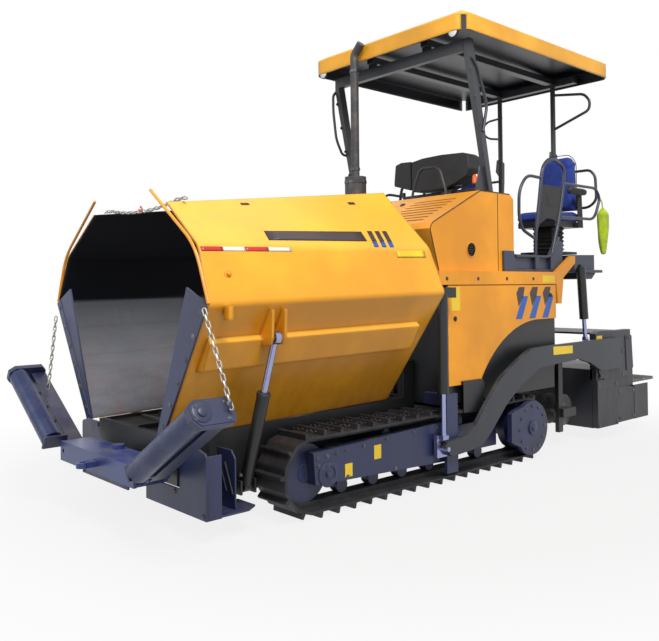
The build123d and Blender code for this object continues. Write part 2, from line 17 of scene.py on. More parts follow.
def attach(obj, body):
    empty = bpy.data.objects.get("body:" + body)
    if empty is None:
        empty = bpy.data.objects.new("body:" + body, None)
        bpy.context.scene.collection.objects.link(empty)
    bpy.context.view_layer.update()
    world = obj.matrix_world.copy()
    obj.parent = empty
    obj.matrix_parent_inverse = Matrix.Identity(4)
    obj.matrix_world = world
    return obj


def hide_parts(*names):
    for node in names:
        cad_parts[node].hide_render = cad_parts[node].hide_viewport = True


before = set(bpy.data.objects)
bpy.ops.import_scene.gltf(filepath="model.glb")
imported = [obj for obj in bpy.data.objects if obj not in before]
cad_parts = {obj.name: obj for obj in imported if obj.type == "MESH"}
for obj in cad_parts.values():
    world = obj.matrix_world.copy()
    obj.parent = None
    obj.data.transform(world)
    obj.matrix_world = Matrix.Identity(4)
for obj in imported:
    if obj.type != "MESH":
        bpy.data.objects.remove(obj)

logging.basicConfig(level=logging.INFO, format="%(levelname)s %(name)s %(message)s")
log = logging.getLogger("paver")

DATUM = np.array([-1.865, 0.0, 0.0])
MM = 0.001
UP, OUT, AHEAD = (0, 0, 1), (0, 1, 0), (1, 0, 0)

Point = tuple[float, float, float]
Outline = tuple[tuple[float, float], ...]


class Side(Enum):
    """The two sides of the machine, by the sign of y."""

    LEFT = 1
    RIGHT = -1

    @property
    def word(self) -> str:
        """Name of the side, as in node names."""
        return self.name.lower()


class Plane(Enum):
    """Which two axes an outline is drawn on, and which way it is carried."""

    SIDE = (0, 2, 1)
    CROSS = (1, 2, 0)
    LEVEL = (0, 1, 2)


def srgb(red: float, green: float, blue: float) -> tuple[float, float, float, float]:
    """Linear colour of an 8-bit display colour.

    Args:
        red: red, 0 to 255.
        green: green, 0 to 255.
        blue: blue, 0 to 255.

    Returns:
        The linear red, green, blue and an alpha of one.
    """
    linear = [c / 12.92 if c <= 0.04045 else ((c + 0.055) / 1.055) ** 2.4
              for c in (red / 255, green / 255, blue / 255)]
    return (linear[0], linear[1], linear[2], 1.0)


# ---------------------------------------------------------------- shader maths


class Wire:
    """A value inside a shader, with arithmetic that adds Math nodes."""

    def __init__(self, tree: "Tree", socket: bpy.types.NodeSocket) -> None:
        """Keep the tree and the socket that the value comes from."""
        self.tree = tree
        self.socket = socket

    def maths(self, operation: str, *others: "Wire | float", clamp: bool = False) -> "Wire":
        """One Math node on this value and others.

        Args:
            operation: the node's operation.
            others: the other values, in order.
            clamp: whether the result is held between 0 and 1.

        Returns:
            The result.
        """
        return self.tree.node("ShaderNodeMath", {"operation": operation, "use_clamp": clamp},
                              dict(enumerate((self, *others))))

    def __add__(self, other: "Wire | float") -> "Wire":
        """Sum."""
        return self.maths("ADD", other)

    __radd__ = __add__

    def __sub__(self, other: "Wire | float") -> "Wire":
        """Difference."""
        return self.maths("SUBTRACT", other)

    def __rsub__(self, other: float) -> "Wire":
        """Difference from a number."""
        return self.tree.node("ShaderNodeMath", {"operation": "SUBTRACT"}, {0: other, 1: self})

    def __mul__(self, other: "Wire | float") -> "Wire":
        """Product."""
        return self.maths("MULTIPLY", other)

    __rmul__ = __mul__

    def over(self, low: float, high: float) -> "Wire":
        """Smooth ramp from 0 at low to 1 at high, with low above high for a falling one.

        Args:
            low: where the ramp is 0.
            high: where it is 1.

        Returns:
            The ramp.
        """
        if low > high:
            return 1 - self.over(high, low)
        return self.tree.node("ShaderNodeMapRange", {"interpolation_type": "SMOOTHSTEP"},
                              {0: self, 1: low, 2: high, 3: 0.0, 4: 1.0})


class Tree:
    """The node tree of one material, with its Principled shader."""

    def __init__(self, name: str) -> None:
        """Start a material with an empty tree and one Principled shader.

        Args:
            name: name of the material.
        """
        self.material = bpy.data.materials.new(name)
        self.material.use_nodes = True
        self.nodes = self.material.node_tree.nodes
        self.links = self.material.node_tree.links
        self.nodes.clear()
        self.output = self.nodes.new("ShaderNodeOutputMaterial")
        self.shader = self.nodes.new("ShaderNodeBsdfPrincipled")
        self.links.new(self.shader.outputs[0], self.output.inputs[0])

    def node(self, kind: str, settings: dict | None = None, inputs: dict | None = None,
             out: int | str = 0) -> Wire:
        """Any node: its settings first, then the values or links of its sockets.

        Args:
            kind: the node's type.
            settings: attributes of the node, by name.
            inputs: values or Wires of its sockets, by index or name.
            out: which output to return.

        Returns:
            The output as a Wire.
        """
        node = self.nodes.new(kind)
        for name, value in (settings or {}).items():
            setattr(node, name, value)
        for key, value in (inputs or {}).items():
            if isinstance(value, Wire):
                self.links.new(value.socket, node.inputs[key])
            else:
                node.inputs[key].default_value = value
        return Wire(self, node.outputs[out])

    def feed(self, name: str, value: "Wire | float | tuple") -> None:
        """Set or link one socket of the Principled shader.

        Args:
            name: the socket's name.
            value: a constant or a Wire.
        """
        if isinstance(value, Wire):
            self.links.new(value.socket, self.shader.inputs[name])
        else:
            self.shader.inputs[name].default_value = value

    def spot(self) -> Wire:
        """Place on the object, as a vector."""
        return self.node("ShaderNodeTexCoord", out="Object")

    def place(self) -> tuple[Wire, Wire, Wire]:
        """Place on the object along, across and up, along from the drawings' zero."""
        parts = self.spot()
        split = self.nodes.new("ShaderNodeSeparateXYZ")
        self.links.new(parts.socket, split.inputs[0])
        along, across, up = (Wire(self, split.outputs[i]) for i in range(3))
        return along - float(DATUM[0]), across, up

    def facing(self) -> tuple[Wire, Wire, Wire]:
        """Direction that the surface faces, in the object's own axes."""
        normal = self.node("ShaderNodeTexCoord", out="Normal")
        split = self.nodes.new("ShaderNodeSeparateXYZ")
        self.links.new(normal.socket, split.inputs[0])
        along, across, up = (Wire(self, split.outputs[i]) for i in range(3))
        return along, across, up

    def noise(self, scale: float, detail: float = 4, rough: float = 0.55,
              stretch: tuple[float, float, float] = (1, 1, 1)) -> Wire:
        """Cloudy noise between about 0 and 1.

        Args:
            scale: clouds to a metre.
            detail: how many finer layers.
            rough: how strong they are.
            stretch: factor on each axis.

        Returns:
            The noise.
        """
        spot = self.node("ShaderNodeMapping", inputs={0: self.spot(), 3: stretch})
        return self.node("ShaderNodeTexNoise", inputs={"Vector": spot, "Scale": scale,
                                                       "Detail": detail, "Roughness": rough})

    def blend(self, amount: "Wire | float", first: "Wire | tuple", second: "Wire | tuple") -> Wire:
        """Mix of two colours.

        Args:
            amount: share of the second.
            first: first colour.
            second: second colour.

        Returns:
            The mixed colour.
        """
        return self.node("ShaderNodeMix", {"data_type": "RGBA"},
                         {0: amount, 6: first, 7: second}, 2)

    def relief(self, height: Wire, depth: float, strength: float = 1.0, edge: float = 0.0) -> None:
        """Bump that feeds the shader's normal, on rounded edges where an edge radius is given.

        Args:
            height: height of the relief, 0 to 1.
            depth: depth of a height of one.
            strength: strength of the bump.
            edge: radius of the edges.
        """
        inputs = {"Height": height, "Distance": depth, "Strength": strength}
        if edge:
            inputs["Normal"] = self.node("ShaderNodeBevel", {"samples": 3}, {"Radius": edge})
        self.feed("Normal", self.node("ShaderNodeBump", inputs=inputs))


# ---------------------------------------------------------------- finishes


@dataclass(frozen=True)
class Paint:
    """Sprayed paint on sheet steel: orange peel, faint runs, dust on top, and below a darker colour that is
    asphalt dirt on the dark paints and painted shade on the yellow ones.
    """

    name: str
    colour: tuple[int, int, int]
    rough: float = 0.38
    dust: float = 0.35
    soil: float = 0.3
    soil_top: float = 1.1
    edge: float = 0.004
    chips: float = 0.25
    mud: tuple[int, int, int] = (46, 41, 38)

    def tint(self, tree: Tree) -> Wire:
        """Colour of the clean paint.

        Args:
            tree: the material's tree.

        Returns:
            The colour, a little uneven from panel to panel.
        """
        red, green, blue = self.colour
        pale = srgb(min(255, red * 1.05 + 3), min(255, green * 1.05 + 3), min(255, blue * 1.05 + 3))
        deep = srgb(red * 0.93, green * 0.92, blue * 0.9)
        return tree.blend(tree.noise(1.3, 3).over(0.35, 0.7), deep, pale)

    def make(self) -> bpy.types.Material:
        """Build the material.

        Returns:
            The material.
        """
        tree = Tree(self.name)
        _, _, z = tree.place()
        _, _, up = tree.facing()
        colour = self.tint(tree)
        clouds = tree.noise(5, 6, 0.62)
        fine = tree.noise(60, 3, 0.6)
        settled = up.over(0.35, 0.95) * clouds.over(0.3, 0.75) * self.dust
        colour = tree.blend(settled, colour, srgb(150, 140, 122))
        # Darker towards the bottom, in streaks: asphalt dirt on the dark paints, painted shade in a darker
        # orange on the yellow paints and the lower wing panels.
        runs = tree.noise(7, 5, 0.65, (1.0, 1.0, 0.25))
        low = z.over(self.soil_top, 0.1) * runs.over(0.35, 0.72) * self.soil
        colour = tree.blend(low, colour, srgb(*self.mud))
        chipped = fine.over(0.66, 0.72) * clouds.over(0.55, 0.75) * self.chips
        colour = tree.blend(chipped, colour, srgb(84, 78, 72))
        tree.feed("Base Color", colour)
        tree.feed("Roughness", self.rough + settled * 0.4 + low * 0.35 + (fine - 0.5) * 0.08)
        tree.feed("Coat Weight", 0.12)
        tree.feed("Coat Roughness", 0.25)
        tree.relief(fine * 0.5 + clouds * 0.5, 0.0006, 0.5, self.edge)
        return tree.material


@dataclass(frozen=True)
class WingPaint(Paint):
    """Yellow paint outside a hopper wing, paler on its upward faces as a painted sky reflection, and worn
    dark steel inside it.
    """

    side: Side = Side.LEFT

    def tint(self, tree: Tree) -> Wire:
        """Colour outside and inside the wing, with a painted sky reflection on the upward faces outside.

        Inside is where the surface faces the hopper's middle, which is where
        across · (y − 0.25) + up · (z − 1.35) < 0.

        Args:
            tree: the material's tree.

        Returns:
            The colour.
        """
        outside = Paint.tint(self, tree)
        _, y, z = tree.place()
        _, across, up = tree.facing()
        out = across * (y - 0.25 * self.side.value) + up * (z - 1.35)
        scraped = tree.noise(9, 6, 0.7, (0.35, 1.0, 1.0))
        steel = tree.blend(z.over(1.4, 0.65), srgb(60, 65, 74), srgb(120, 124, 134))
        worn = tree.blend(scraped.over(0.35, 0.75) * 0.35, steel, srgb(52, 54, 60))
        inside = tree.blend(z.over(1.44, 1.46), worn, srgb(17, 19, 25))
        # Upward faces outside blend to a paler lemon yellow: painted sky reflection.
        outside = tree.blend(up.over(0.15, 0.9) * 0.45, outside, srgb(253, 212, 88))
        return tree.blend(out.over(-0.1, -0.22), outside, inside)


@dataclass(frozen=True)
class RoofPaint(Paint):
    """Yellow paint on top of the roof and its skirt, dark moulding under it."""

    def tint(self, tree: Tree) -> Wire:
        """Colour outside and under the roof.

        Under it is where the surface faces down, or inwards, which is where
        along · (x − 0.91) + across · y < 0.

        Args:
            tree: the material's tree.

        Returns:
            The colour.
        """
        x, y, _ = tree.place()
        along, across, up = tree.facing()
        inward = (along * (x - 0.91) + across * y).over(-0.02, -0.1)
        under = inward.maths("MAXIMUM", up.over(-0.25, -0.6))
        return tree.blend(under, Paint.tint(self, tree), srgb(20, 23, 32))


@dataclass(frozen=True)
class Metal:
    """Bare or oxidised steel: rolled grain, scratches and rust or polish."""

    name: str
    colour: tuple[int, int, int]
    worn: tuple[int, int, int]
    rough: float = 0.5
    metallic: float = 0.7
    wear: float = 0.5
    grain: tuple[float, float, float] = (1, 1, 1)
    edge: float = 0.003

    def make(self) -> bpy.types.Material:
        """Build the material.

        Returns:
            The material.
        """
        tree = Tree(self.name)
        _, _, up = tree.facing()
        clouds = tree.noise(8, 6, 0.65)
        fine = tree.noise(90, 4, 0.6, self.grain)
        mask = clouds.over(0.4, 0.68) * self.wear
        colour = tree.blend(mask, srgb(*self.colour), srgb(*self.worn))
        settled = up.over(0.5, 1.0) * fine.over(0.4, 0.7) * 0.12
        colour = tree.blend(settled, colour, srgb(118, 112, 104))
        tree.feed("Base Color", colour)
        tree.feed("Metallic", self.metallic)
        tree.feed("Roughness", self.rough + (fine - 0.5) * 0.25 - mask * 0.12)
        tree.relief(fine * 0.6 + clouds * 0.4, 0.0008, 0.6, self.edge)
        return tree.material


@dataclass(frozen=True)
class Moulded:
    """Moulded plastic or rubber: fine grain, faint bloom and scuffs."""

    name: str
    colour: tuple[int, int, int]
    rough: float = 0.6
    bloom: float = 0.25
    edge: float = 0.004

    def make(self) -> bpy.types.Material:
        """Build the material.

        Returns:
            The material.
        """
        tree = Tree(self.name)
        _, _, up = tree.facing()
        clouds = tree.noise(6, 5, 0.6)
        fine = tree.noise(220, 2, 0.5)
        dusty = (up.over(0.2, 1.0) * 0.7 + 0.3) * clouds.over(0.4, 0.8) * self.bloom
        tree.feed("Base Color", tree.blend(dusty, srgb(*self.colour), srgb(128, 124, 116)))
        tree.feed("Roughness", self.rough + dusty * 0.5 + (fine - 0.5) * 0.1)
        tree.relief(fine, 0.0005, 0.5, self.edge)
        return tree.material


@dataclass(frozen=True)
class Cloth:
    """Woven cloth: crossed threads, soft blotches and sheen."""

    name: str
    colour: tuple[int, int, int]
    thread: float = 0.0016
    rough: float = 0.85

    def make(self) -> bpy.types.Material:
        """Build the material.

        The weave is sin(2π across / thread) · sin(2π along / thread), on all three axes.

        Returns:
            The material.
        """
        tree = Tree(self.name)
        x, y, z = tree.place()
        turn = 2 * math.pi / (self.thread * 4)
        weave = (x * turn).maths("SINE") * (y * turn).maths("SINE") + (z * turn).maths("SINE") * (
            (x + y) * turn).maths("SINE")
        clouds = tree.noise(12, 5, 0.6)
        red, green, blue = self.colour
        colour = tree.blend(clouds.over(0.3, 0.75), srgb(red * 0.82, green * 0.82, blue * 0.82),
                            srgb(*self.colour))
        tree.feed("Base Color", tree.blend(weave.over(0.4, 1.4) * 0.25, colour, srgb(18, 18, 20)))
        tree.feed("Roughness", self.rough + (clouds - 0.5) * 0.1)
        tree.feed("Sheen Weight", 0.25)
        tree.feed("Sheen Roughness", 0.4)
        tree.relief(weave * 0.4 + clouds * 0.6, 0.0012, 0.6)
        return tree.material


@dataclass(frozen=True)
class Lens:
    """Tinted or clear moulded lens with a ribbed face."""

    name: str
    colour: tuple[int, int, int]
    glow: float = 0.0

    def make(self) -> bpy.types.Material:
        """Build the material.

        Returns:
            The material.
        """
        tree = Tree(self.name)
        _, y, z = tree.place()
        ribs = ((y + z) * 620.0).maths("SINE") * 0.5 + 0.5
        tree.feed("Base Color", tree.blend(ribs * 0.4, srgb(*self.colour), srgb(
            *(min(255, c * 1.2 + 12) for c in self.colour))))
        tree.feed("Roughness", 0.12 + ribs * 0.1)
        tree.feed("Coat Weight", 0.6)
        if self.glow:
            tree.feed("Emission Color", srgb(*self.colour))
            tree.feed("Emission Strength", self.glow)
        tree.relief(ribs, 0.0008, 0.4)
        return tree.material


class Finishes:
    """All finishes of the machine, made once."""

    def __init__(self) -> None:
        """Make every material."""
        kinds = [
            # The darker orange low colour of the yellow paint and the wings is painted shade; on the wings it
            # reaches to about the top of the lower panel.
            Paint("yellow_paint", (241, 158, 20), dust=0.2, soil_top=0.9, chips=0.1, mud=(96, 44, 14)),
            *[WingPaint(f"wing_paint_{side.word}", (244, 166, 26), side=side, dust=0.12, soil=0.45,
                        soil_top=1.5, edge=0.03, chips=0.08, mud=(122, 54, 8)) for side in Side],
            RoofPaint("roof_paint", (236, 168, 34), soil=0.0, edge=0.03),
            Paint("navy_paint", (33, 42, 80), rough=0.4, dust=0.22, soil=0.4, chips=0.15),
            Paint("beam_paint", (42, 60, 122), rough=0.34, dust=0.3, soil=0.2, soil_top=0.5, chips=0.15),
            Paint("strip_paint", (36, 44, 84), rough=0.42, dust=0.15, soil=0.2, chips=0.15),
            Paint("dark_paint", (34, 38, 48), rough=0.42, dust=0.2, soil=0.3, chips=0.15),
            Paint("black_paint", (15, 17, 21), rough=0.42, dust=0.12, soil=0.1, chips=0.1),
            Paint("grey_paint", (46, 49, 56), rough=0.4, dust=0.15, soil=0.1, chips=0.1),
            Paint("guard_paint", (38, 45, 66), rough=0.38, dust=0.15, soil=0.0, chips=0.1),
            Paint("screed_paint", (36, 38, 47), rough=0.46, dust=0.25, soil=0.4, soil_top=1.4, chips=0.15),
            Paint("deck_paint", (48, 53, 76), rough=0.46, dust=0.3, soil=0.1, soil_top=1.8, chips=0.1),
            Paint("flap_blue", (36, 92, 186), rough=0.4, dust=0.1, soil=0.0, chips=0.05),
            Paint("band_dark", (56, 44, 48), rough=0.5, dust=0.1, soil=0.0, chips=0.05),
            Paint("label_yellow", (246, 206, 40), rough=0.4, dust=0.15, soil=0.1, chips=0.05),
            # Near-black film laid in slots and vent openings: painted shade where there are holes.
            Paint("label_black", (26, 24, 24), rough=0.5, dust=0.1, soil=0.1, chips=0.05),
            Paint("strip_red", (196, 32, 38), rough=0.3, dust=0.1, soil=0.1, chips=0.05),
            Paint("strip_white", (226, 226, 224), rough=0.3, dust=0.2, soil=0.1, chips=0.05),
            Paint("pale_plate", (188, 190, 192), rough=0.4, dust=0.2, soil=0.1, chips=0.1),
            Metal("track_steel", (38, 38, 42), (62, 62, 68), 0.6, 0.35, 0.6, edge=0.005),
            Metal("worn_steel", (92, 90, 88), (150, 150, 152), 0.42, 0.8, 0.6, (0.2, 1, 1)),
            Metal("chain_steel", (168, 166, 160), (196, 192, 184), 0.35, 0.7, 0.5, edge=0.002),
            Metal("roller_steel", (28, 40, 84), (66, 74, 104), 0.34, 0.3, 0.45, (1, 0.2, 1)),
            Metal("bolt_steel", (70, 72, 78), (140, 142, 148), 0.38, 0.8, 0.4, edge=0.001),
            # The bluish lavender of the chrome rod is a painted reflection, not the colour of the chrome.
            Metal("chrome_rod", (150, 156, 196), (186, 190, 214), 0.12, 0.9, 0.3, (1, 1, 0.1), edge=0.002),
            Metal("cast_engine", (66, 66, 66), (92, 88, 82), 0.65, 0.4, 0.5, edge=0.01),
            Metal("silencer_steel", (66, 66, 68), (98, 92, 86), 0.6, 0.5, 0.6),
            Moulded("black_plastic", (30, 31, 34)),
            Moulded("rubber", (24, 24, 26), 0.75, 0.35),
            Cloth("seat_fabric", (34, 62, 158)),
            Cloth("bag_fabric", (196, 222, 44), 0.0022),
            Lens("lamp_glass", (206, 212, 218)),
            Lens("beacon_glass", (236, 84, 14), 0.25),
        ]
        self.made = {kind.name: kind.make() for kind in kinds}

    def __getitem__(self, name: str) -> bpy.types.Material:
        """The material of that name."""
        return self.made[name]


# ---------------------------------------------------------------- forms


@dataclass
class Form:
    """Points and faces of a piece being made, in metres from the drawings' zero."""

    points: np.ndarray
    faces: list[list[int]]

    @staticmethod
    def joined(forms: "list[Form]") -> "Form":
        """One form of several."""
        faces, start = [], 0
        for form in forms:
            faces += [[i + start for i in face] for face in form.faces]
            start += len(form.points)
        return Form(np.concatenate([form.points for form in forms]), faces)

    def moved(self, x: float = 0.0, y: float = 0.0, z: float = 0.0) -> "Form":
        """The form, shifted."""
        return Form(self.points + np.array([x, y, z]), self.faces)

    def turned(self, axis: str, degrees: float, centre: tuple[float, float, float]) -> "Form":
        """The form turned about an axis through a point, by the right-hand rule.

        Args:
            axis: x, y or z.
            degrees: angle.
            centre: the point.

        Returns:
            The turned form.
        """
        a, b = {"x": (1, 2), "y": (2, 0), "z": (0, 1)}[axis]
        c, s = math.cos(math.radians(degrees)), math.sin(math.radians(degrees))
        middle = np.array(centre)
        rel = self.points - middle
        out = rel.copy()
        out[:, a] = rel[:, a] * c - rel[:, b] * s
        out[:, b] = rel[:, a] * s + rel[:, b] * c
        return Form(out + middle, self.faces)

    def on(self, side: Side) -> "Form":
        """The form on one side: as it is on the left, mirrored with its faces turned on the right."""
        if side is Side.LEFT:
            return self
        return Form(self.points * np.array([1.0, -1.0, 1.0]), [face[::-1] for face in self.faces])

    def both(self) -> "Form":
        """The form and its mirror."""
        return Form.joined([self, self.on(Side.RIGHT)])

    def piece(self, name: str, material: bpy.types.Material, body: str = "root", slot: str = "",
              bevel: float = 0.0, smooth: float = 35.0) -> bpy.types.Object:
        """The finished object, riding on a body.

        Args:
            name: name of the object.
            material: its finish.
            body: the CAD body that it moves with.
            slot: the record's material slot; not used.
            bevel: width of its bevelled edges.
            smooth: angle under which edges are shaded smooth.

        Returns:
            The object.
        """
        mesh = bpy.data.meshes.new(name)
        mesh.from_pydata((self.points + DATUM).tolist(), [], self.faces)
        mesh.validate()
        mesh.update()
        mesh.materials.append(material)
        mesh.shade_smooth()
        mesh.set_sharp_from_angle(angle=math.radians(smooth))
        thing = bpy.data.objects.new(name, mesh)
        bpy.context.collection.objects.link(thing)
        if bevel:
            edge = thing.modifiers.new("edge", "BEVEL")
            edge.width, edge.segments, edge.limit_method = bevel, 2, "ANGLE"
            edge.angle_limit, edge.use_clamp_overlap, edge.harden_normals = 0.6, True, False
        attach(thing, body)
        return thing


def closed_grid(grid: np.ndarray, loop_rows: bool = False) -> Form:
    """A skin over rows of rings: place j of row i is joined to the next row and round the ring.

    Args:
        grid: points of shape (rows, places, 3), each row a ring.
        loop_rows: whether the last row joins the first; if not, a face closes each end ring.

    Returns:
        The form, turned so that its faces point outwards (its volume, the sum of p0 · (p1 × p2) / 6 over
        its triangles, is made positive).
    """
    rows, places = grid.shape[:2]
    i = np.arange(rows if loop_rows else rows - 1)[:, None]
    j = np.arange(places)[None, :]
    i2, j2 = (i + 1) % rows, (j + 1) % places
    quads = np.stack([i * places + j, i * places + j2, i2 * places + j2, i2 * places + j], -1)
    faces = quads.reshape(-1, 4).tolist()
    if not loop_rows:
        faces.append(list(range(places))[::-1])
        faces.append(list(range((rows - 1) * places, rows * places)))
    points = grid.reshape(-1, 3)
    q = points[quads.reshape(-1, 4)] - points.mean(0)
    volume = np.einsum("ij,ij->i", q[:, 0], np.cross(q[:, 1], q[:, 2])).sum()
    volume += np.einsum("ij,ij->i", q[:, 0], np.cross(q[:, 2], q[:, 3])).sum()
    if volume < 0:
        faces = [face[::-1] for face in faces]
    return Form(points, faces)


def plate(outline: Outline, plane: Plane, low: float, high: float) -> Form:
    """A flat outline in millimetres, carried from low to high: ring k is the outline at k.

    Args:
        outline: corners on the plane's two axes.
        plane: the plane.
        low: where it starts.
        high: where it ends.

    Returns:
        The closed form.
    """
    a, b, c = plane.value
    flat = np.array(outline, float) * MM
    grid = np.zeros((2, len(flat), 3))
    grid[:, :, a], grid[:, :, b] = flat[:, 0], flat[:, 1]
    grid[0, :, c], grid[1, :, c] = low * MM, high * MM
    return closed_grid(grid)


def block(x0: float, x1: float, y0: float, y1: float, z0: float, z1: float) -> Form:
    """A straight-edged block between two corners, in millimetres."""
    return plate([(x0, y0), (x1, y0), (x1, y1), (x0, y1)], Plane.LEVEL, z0, z1)


def eased(points: np.ndarray, reach: float, steps: int = 6) -> np.ndarray:
    """A line with each corner eased: (1−t)²·a + 2t(1−t)·corner + t²·b.

    Here a and b lie on the line, a reach before and after the corner.

    Args:
        points: corners of the line, shape (n, 3).
        reach: how far from the corner the curve starts.
        steps: places on each curve.

    Returns:
        Points of the eased line.
    """
    before, corner, after = points[:-2], points[1:-1], points[2:]
    back, on = before - corner, after - corner
    back_length = np.linalg.norm(back, axis=1, keepdims=True)
    on_length = np.linalg.norm(on, axis=1, keepdims=True)
    near = np.minimum(np.minimum(back_length, on_length) * 0.45, reach)
    start, end = corner + back / back_length * near, corner + on / on_length * near
    t = np.linspace(0, 1, steps)[None, :, None]
    curve = start[:, None] * (1 - t) ** 2 + corner[:, None] * 2 * t * (1 - t) + end[:, None] * t ** 2
    return np.concatenate([points[:1], curve.reshape(-1, 3), points[-1:]])


def tube(points: list[Point], radius: float, reach: float = 60, sides: int = 12) -> Form:
    """A round tube along an eased line: line + radius · (cos v · side + sin v · up).

    The side of each ring is across its direction and the line's flattest direction.

    Args:
        points: corners of the line, in millimetres.
        radius: radius, in millimetres.
        reach: ease of the corners, in millimetres.
        sides: places round the tube.

    Returns:
        The closed form.
    """
    line = np.array(points, float) * MM
    if len(line) > 2 and reach:
        line = eased(line, reach * MM)
    spread = line - line.mean(0)
    across = np.linalg.svd(spread + 1e-9)[2][2]
    along = np.gradient(line, axis=0)
    along /= np.linalg.norm(along, axis=1, keepdims=True)
    side = np.cross(along, across)
    side /= np.linalg.norm(side, axis=1, keepdims=True)
    up = np.cross(side, along)
    v = np.linspace(0, 2 * math.pi, sides, endpoint=False)[None, :, None]
    grid = line[:, None] + radius * MM * (np.cos(v) * side[:, None] + np.sin(v) * up[:, None])
    return closed_grid(grid)


def turned_form(profile: Outline, start: Point, along: Point, sides: int = 32) -> Form:
    """A profile of (distance, radius) in millimetres, turned round an axis.

    Args:
        profile: distances along the axis and radii there.
        start: start of the axis, in millimetres.
        along: direction of the axis.
        sides: places round.

    Returns:
        The closed form: start + d · along + r · (cos v · side + sin v · up).
    """
    axis = np.array(along, float)
    axis /= np.linalg.norm(axis)
    helper = np.array([0.0, 0.0, 1.0]) if abs(axis[2]) < 0.8 else np.array([1.0, 0.0, 0.0])
    side = np.cross(axis, helper)
    side /= np.linalg.norm(side)
    up = np.cross(axis, side)
    shape = np.array(profile, float) * MM
    v = np.linspace(0, 2 * math.pi, sides, endpoint=False)[None, :, None]
    grid = (np.array(start, float) * MM + shape[:, :1, None] * axis
            + np.maximum(shape[:, 1:, None], 1e-5) * (np.cos(v) * side + np.sin(v) * up))
    return closed_grid(grid)


def bolts(places: list[Point], along: Point, size: float = 12, height: float = 8,
          washer: bool = True) -> Form:
    """Six-sided bolt heads on washers, all alike, at many places.

    Args:
        places: seats of the bolts, in millimetres.
        along: direction that they point.
        size: radius of a head, in millimetres.
        height: height of a head, in millimetres.
        washer: whether a washer lies under each head.

    Returns:
        The closed form.
    """
    origin = (0, 0, 0)
    head = turned_form([(-1, size), (height * 0.8, size), (height, size * 0.82)], origin, along, 6)
    if washer:
        ring = turned_form([(-1, size * 1.45), (2, size * 1.45), (2.4, size * 1.3)], origin, along, 14)
        head = Form.joined([head, ring])
    return Form.joined([head.moved(*(np.array(place) * MM)) for place in places])


def chain(places: np.ndarray, pitch: float, wire: float = 9.0, width: float = 29.0) -> Form:
    """Round-wire links along a line, each turned a quarter from the last.

    A link's line is a loop of two half circles and two straights; its section is a circle.

    Args:
        places: middles of the links, in millimetres, shape (n, 3).
        pitch: distance between middles, in millimetres.
        wire: diameter of the wire, in millimetres.
        width: outer width of a link, in millimetres.

    Returns:
        The closed links.
    """
    bend = (width - wire) / 2
    straight = max(2.0, (pitch + 2 * wire - width) / 2)
    half = np.linspace(-math.pi / 2, math.pi / 2, 6)
    loop_x = np.concatenate([straight + bend * np.cos(half), -straight - bend * np.cos(half)])
    loop_y = np.concatenate([bend * np.sin(half), -bend * np.sin(half)])
    loop = np.stack([loop_x, loop_y], -1)
    step = np.roll(loop, -1, 0) - np.roll(loop, 1, 0)
    step /= np.linalg.norm(step, axis=1, keepdims=True)
    out = np.stack([step[:, 1], -step[:, 0]], -1)
    v = np.linspace(0, 2 * math.pi, 7, endpoint=False)
    flat = loop[:, None, :] + wire / 2 * np.cos(v)[None, :, None] * out[:, None, :]
    lift = np.broadcast_to(wire / 2 * np.sin(v)[None, :, None], flat.shape[:2] + (1,))
    ring = np.concatenate([flat, lift], -1)
    along = np.gradient(places, axis=0)
    along /= np.linalg.norm(along, axis=1, keepdims=True)
    helper = np.array([1.0, 0.0, 0.0])
    forms = []
    for n, (place, way) in enumerate(zip(places, along)):
        first = np.cross(way, helper)
        first /= np.linalg.norm(first)
        second = np.cross(way, first)
        turn = math.radians(45 if n % 2 else -45)
        side = first * math.cos(turn) + second * math.sin(turn)
        up = np.cross(way, side)
        grid = place + ring[..., :1] * way + ring[..., 1:2] * side + ring[..., 2:] * up
        forms.append(closed_grid(grid * MM, loop_rows=True))
    return Form.joined(forms)


def run_of(start: Point, end: Point, count: int) -> np.ndarray:
    """Even places along a straight run, in millimetres."""
    t = np.linspace(0, 1, count)[:, None]
    return np.array(start, float) * (1 - t) + np.array(end, float) * t


def at_y(outline: Outline, y: float) -> list[Point]:
    """Points of a line drawn along and up, all at one place across."""
    return [(x, y, z) for x, z in outline]


def at_x(outline: Outline, x: float) -> list[Point]:
    """Points of a line drawn across and up, all at one place along."""
    return [(x, y, z) for y, z in outline]


Row = tuple[str, Form, str, str, str, float]


def film(outline: Outline, face: float, sink: float = 0.4, rise: float = 1.4) -> Form:
    """A label or painted mark on a side face, from just inside the face to just outside it.

    Args:
        outline: corners along and up, in millimetres.
        face: the face's place across.
        sink: how far it reaches into the face.
        rise: how far it stands out.

    Returns:
        The closed form.
    """
    return plate(outline, Plane.SIDE, face - sink, face + rise)


def dress(side: Side, finishes: Finishes, rows: list[Row]) -> None:
    """Make the pieces of one side from a table.

    Args:
        side: side of the machine.
        finishes: all finishes.
        rows: name, left form, finish, body, slot and bevel of each piece; {} is the side's word.
    """
    for name, form, finish, body, slot, bevel in rows:
        form.on(side).piece(name.format(side.word), finishes[finish], body.format(side.word), slot,
                            bevel)


# ---------------------------------------------------------------- the camera's stand


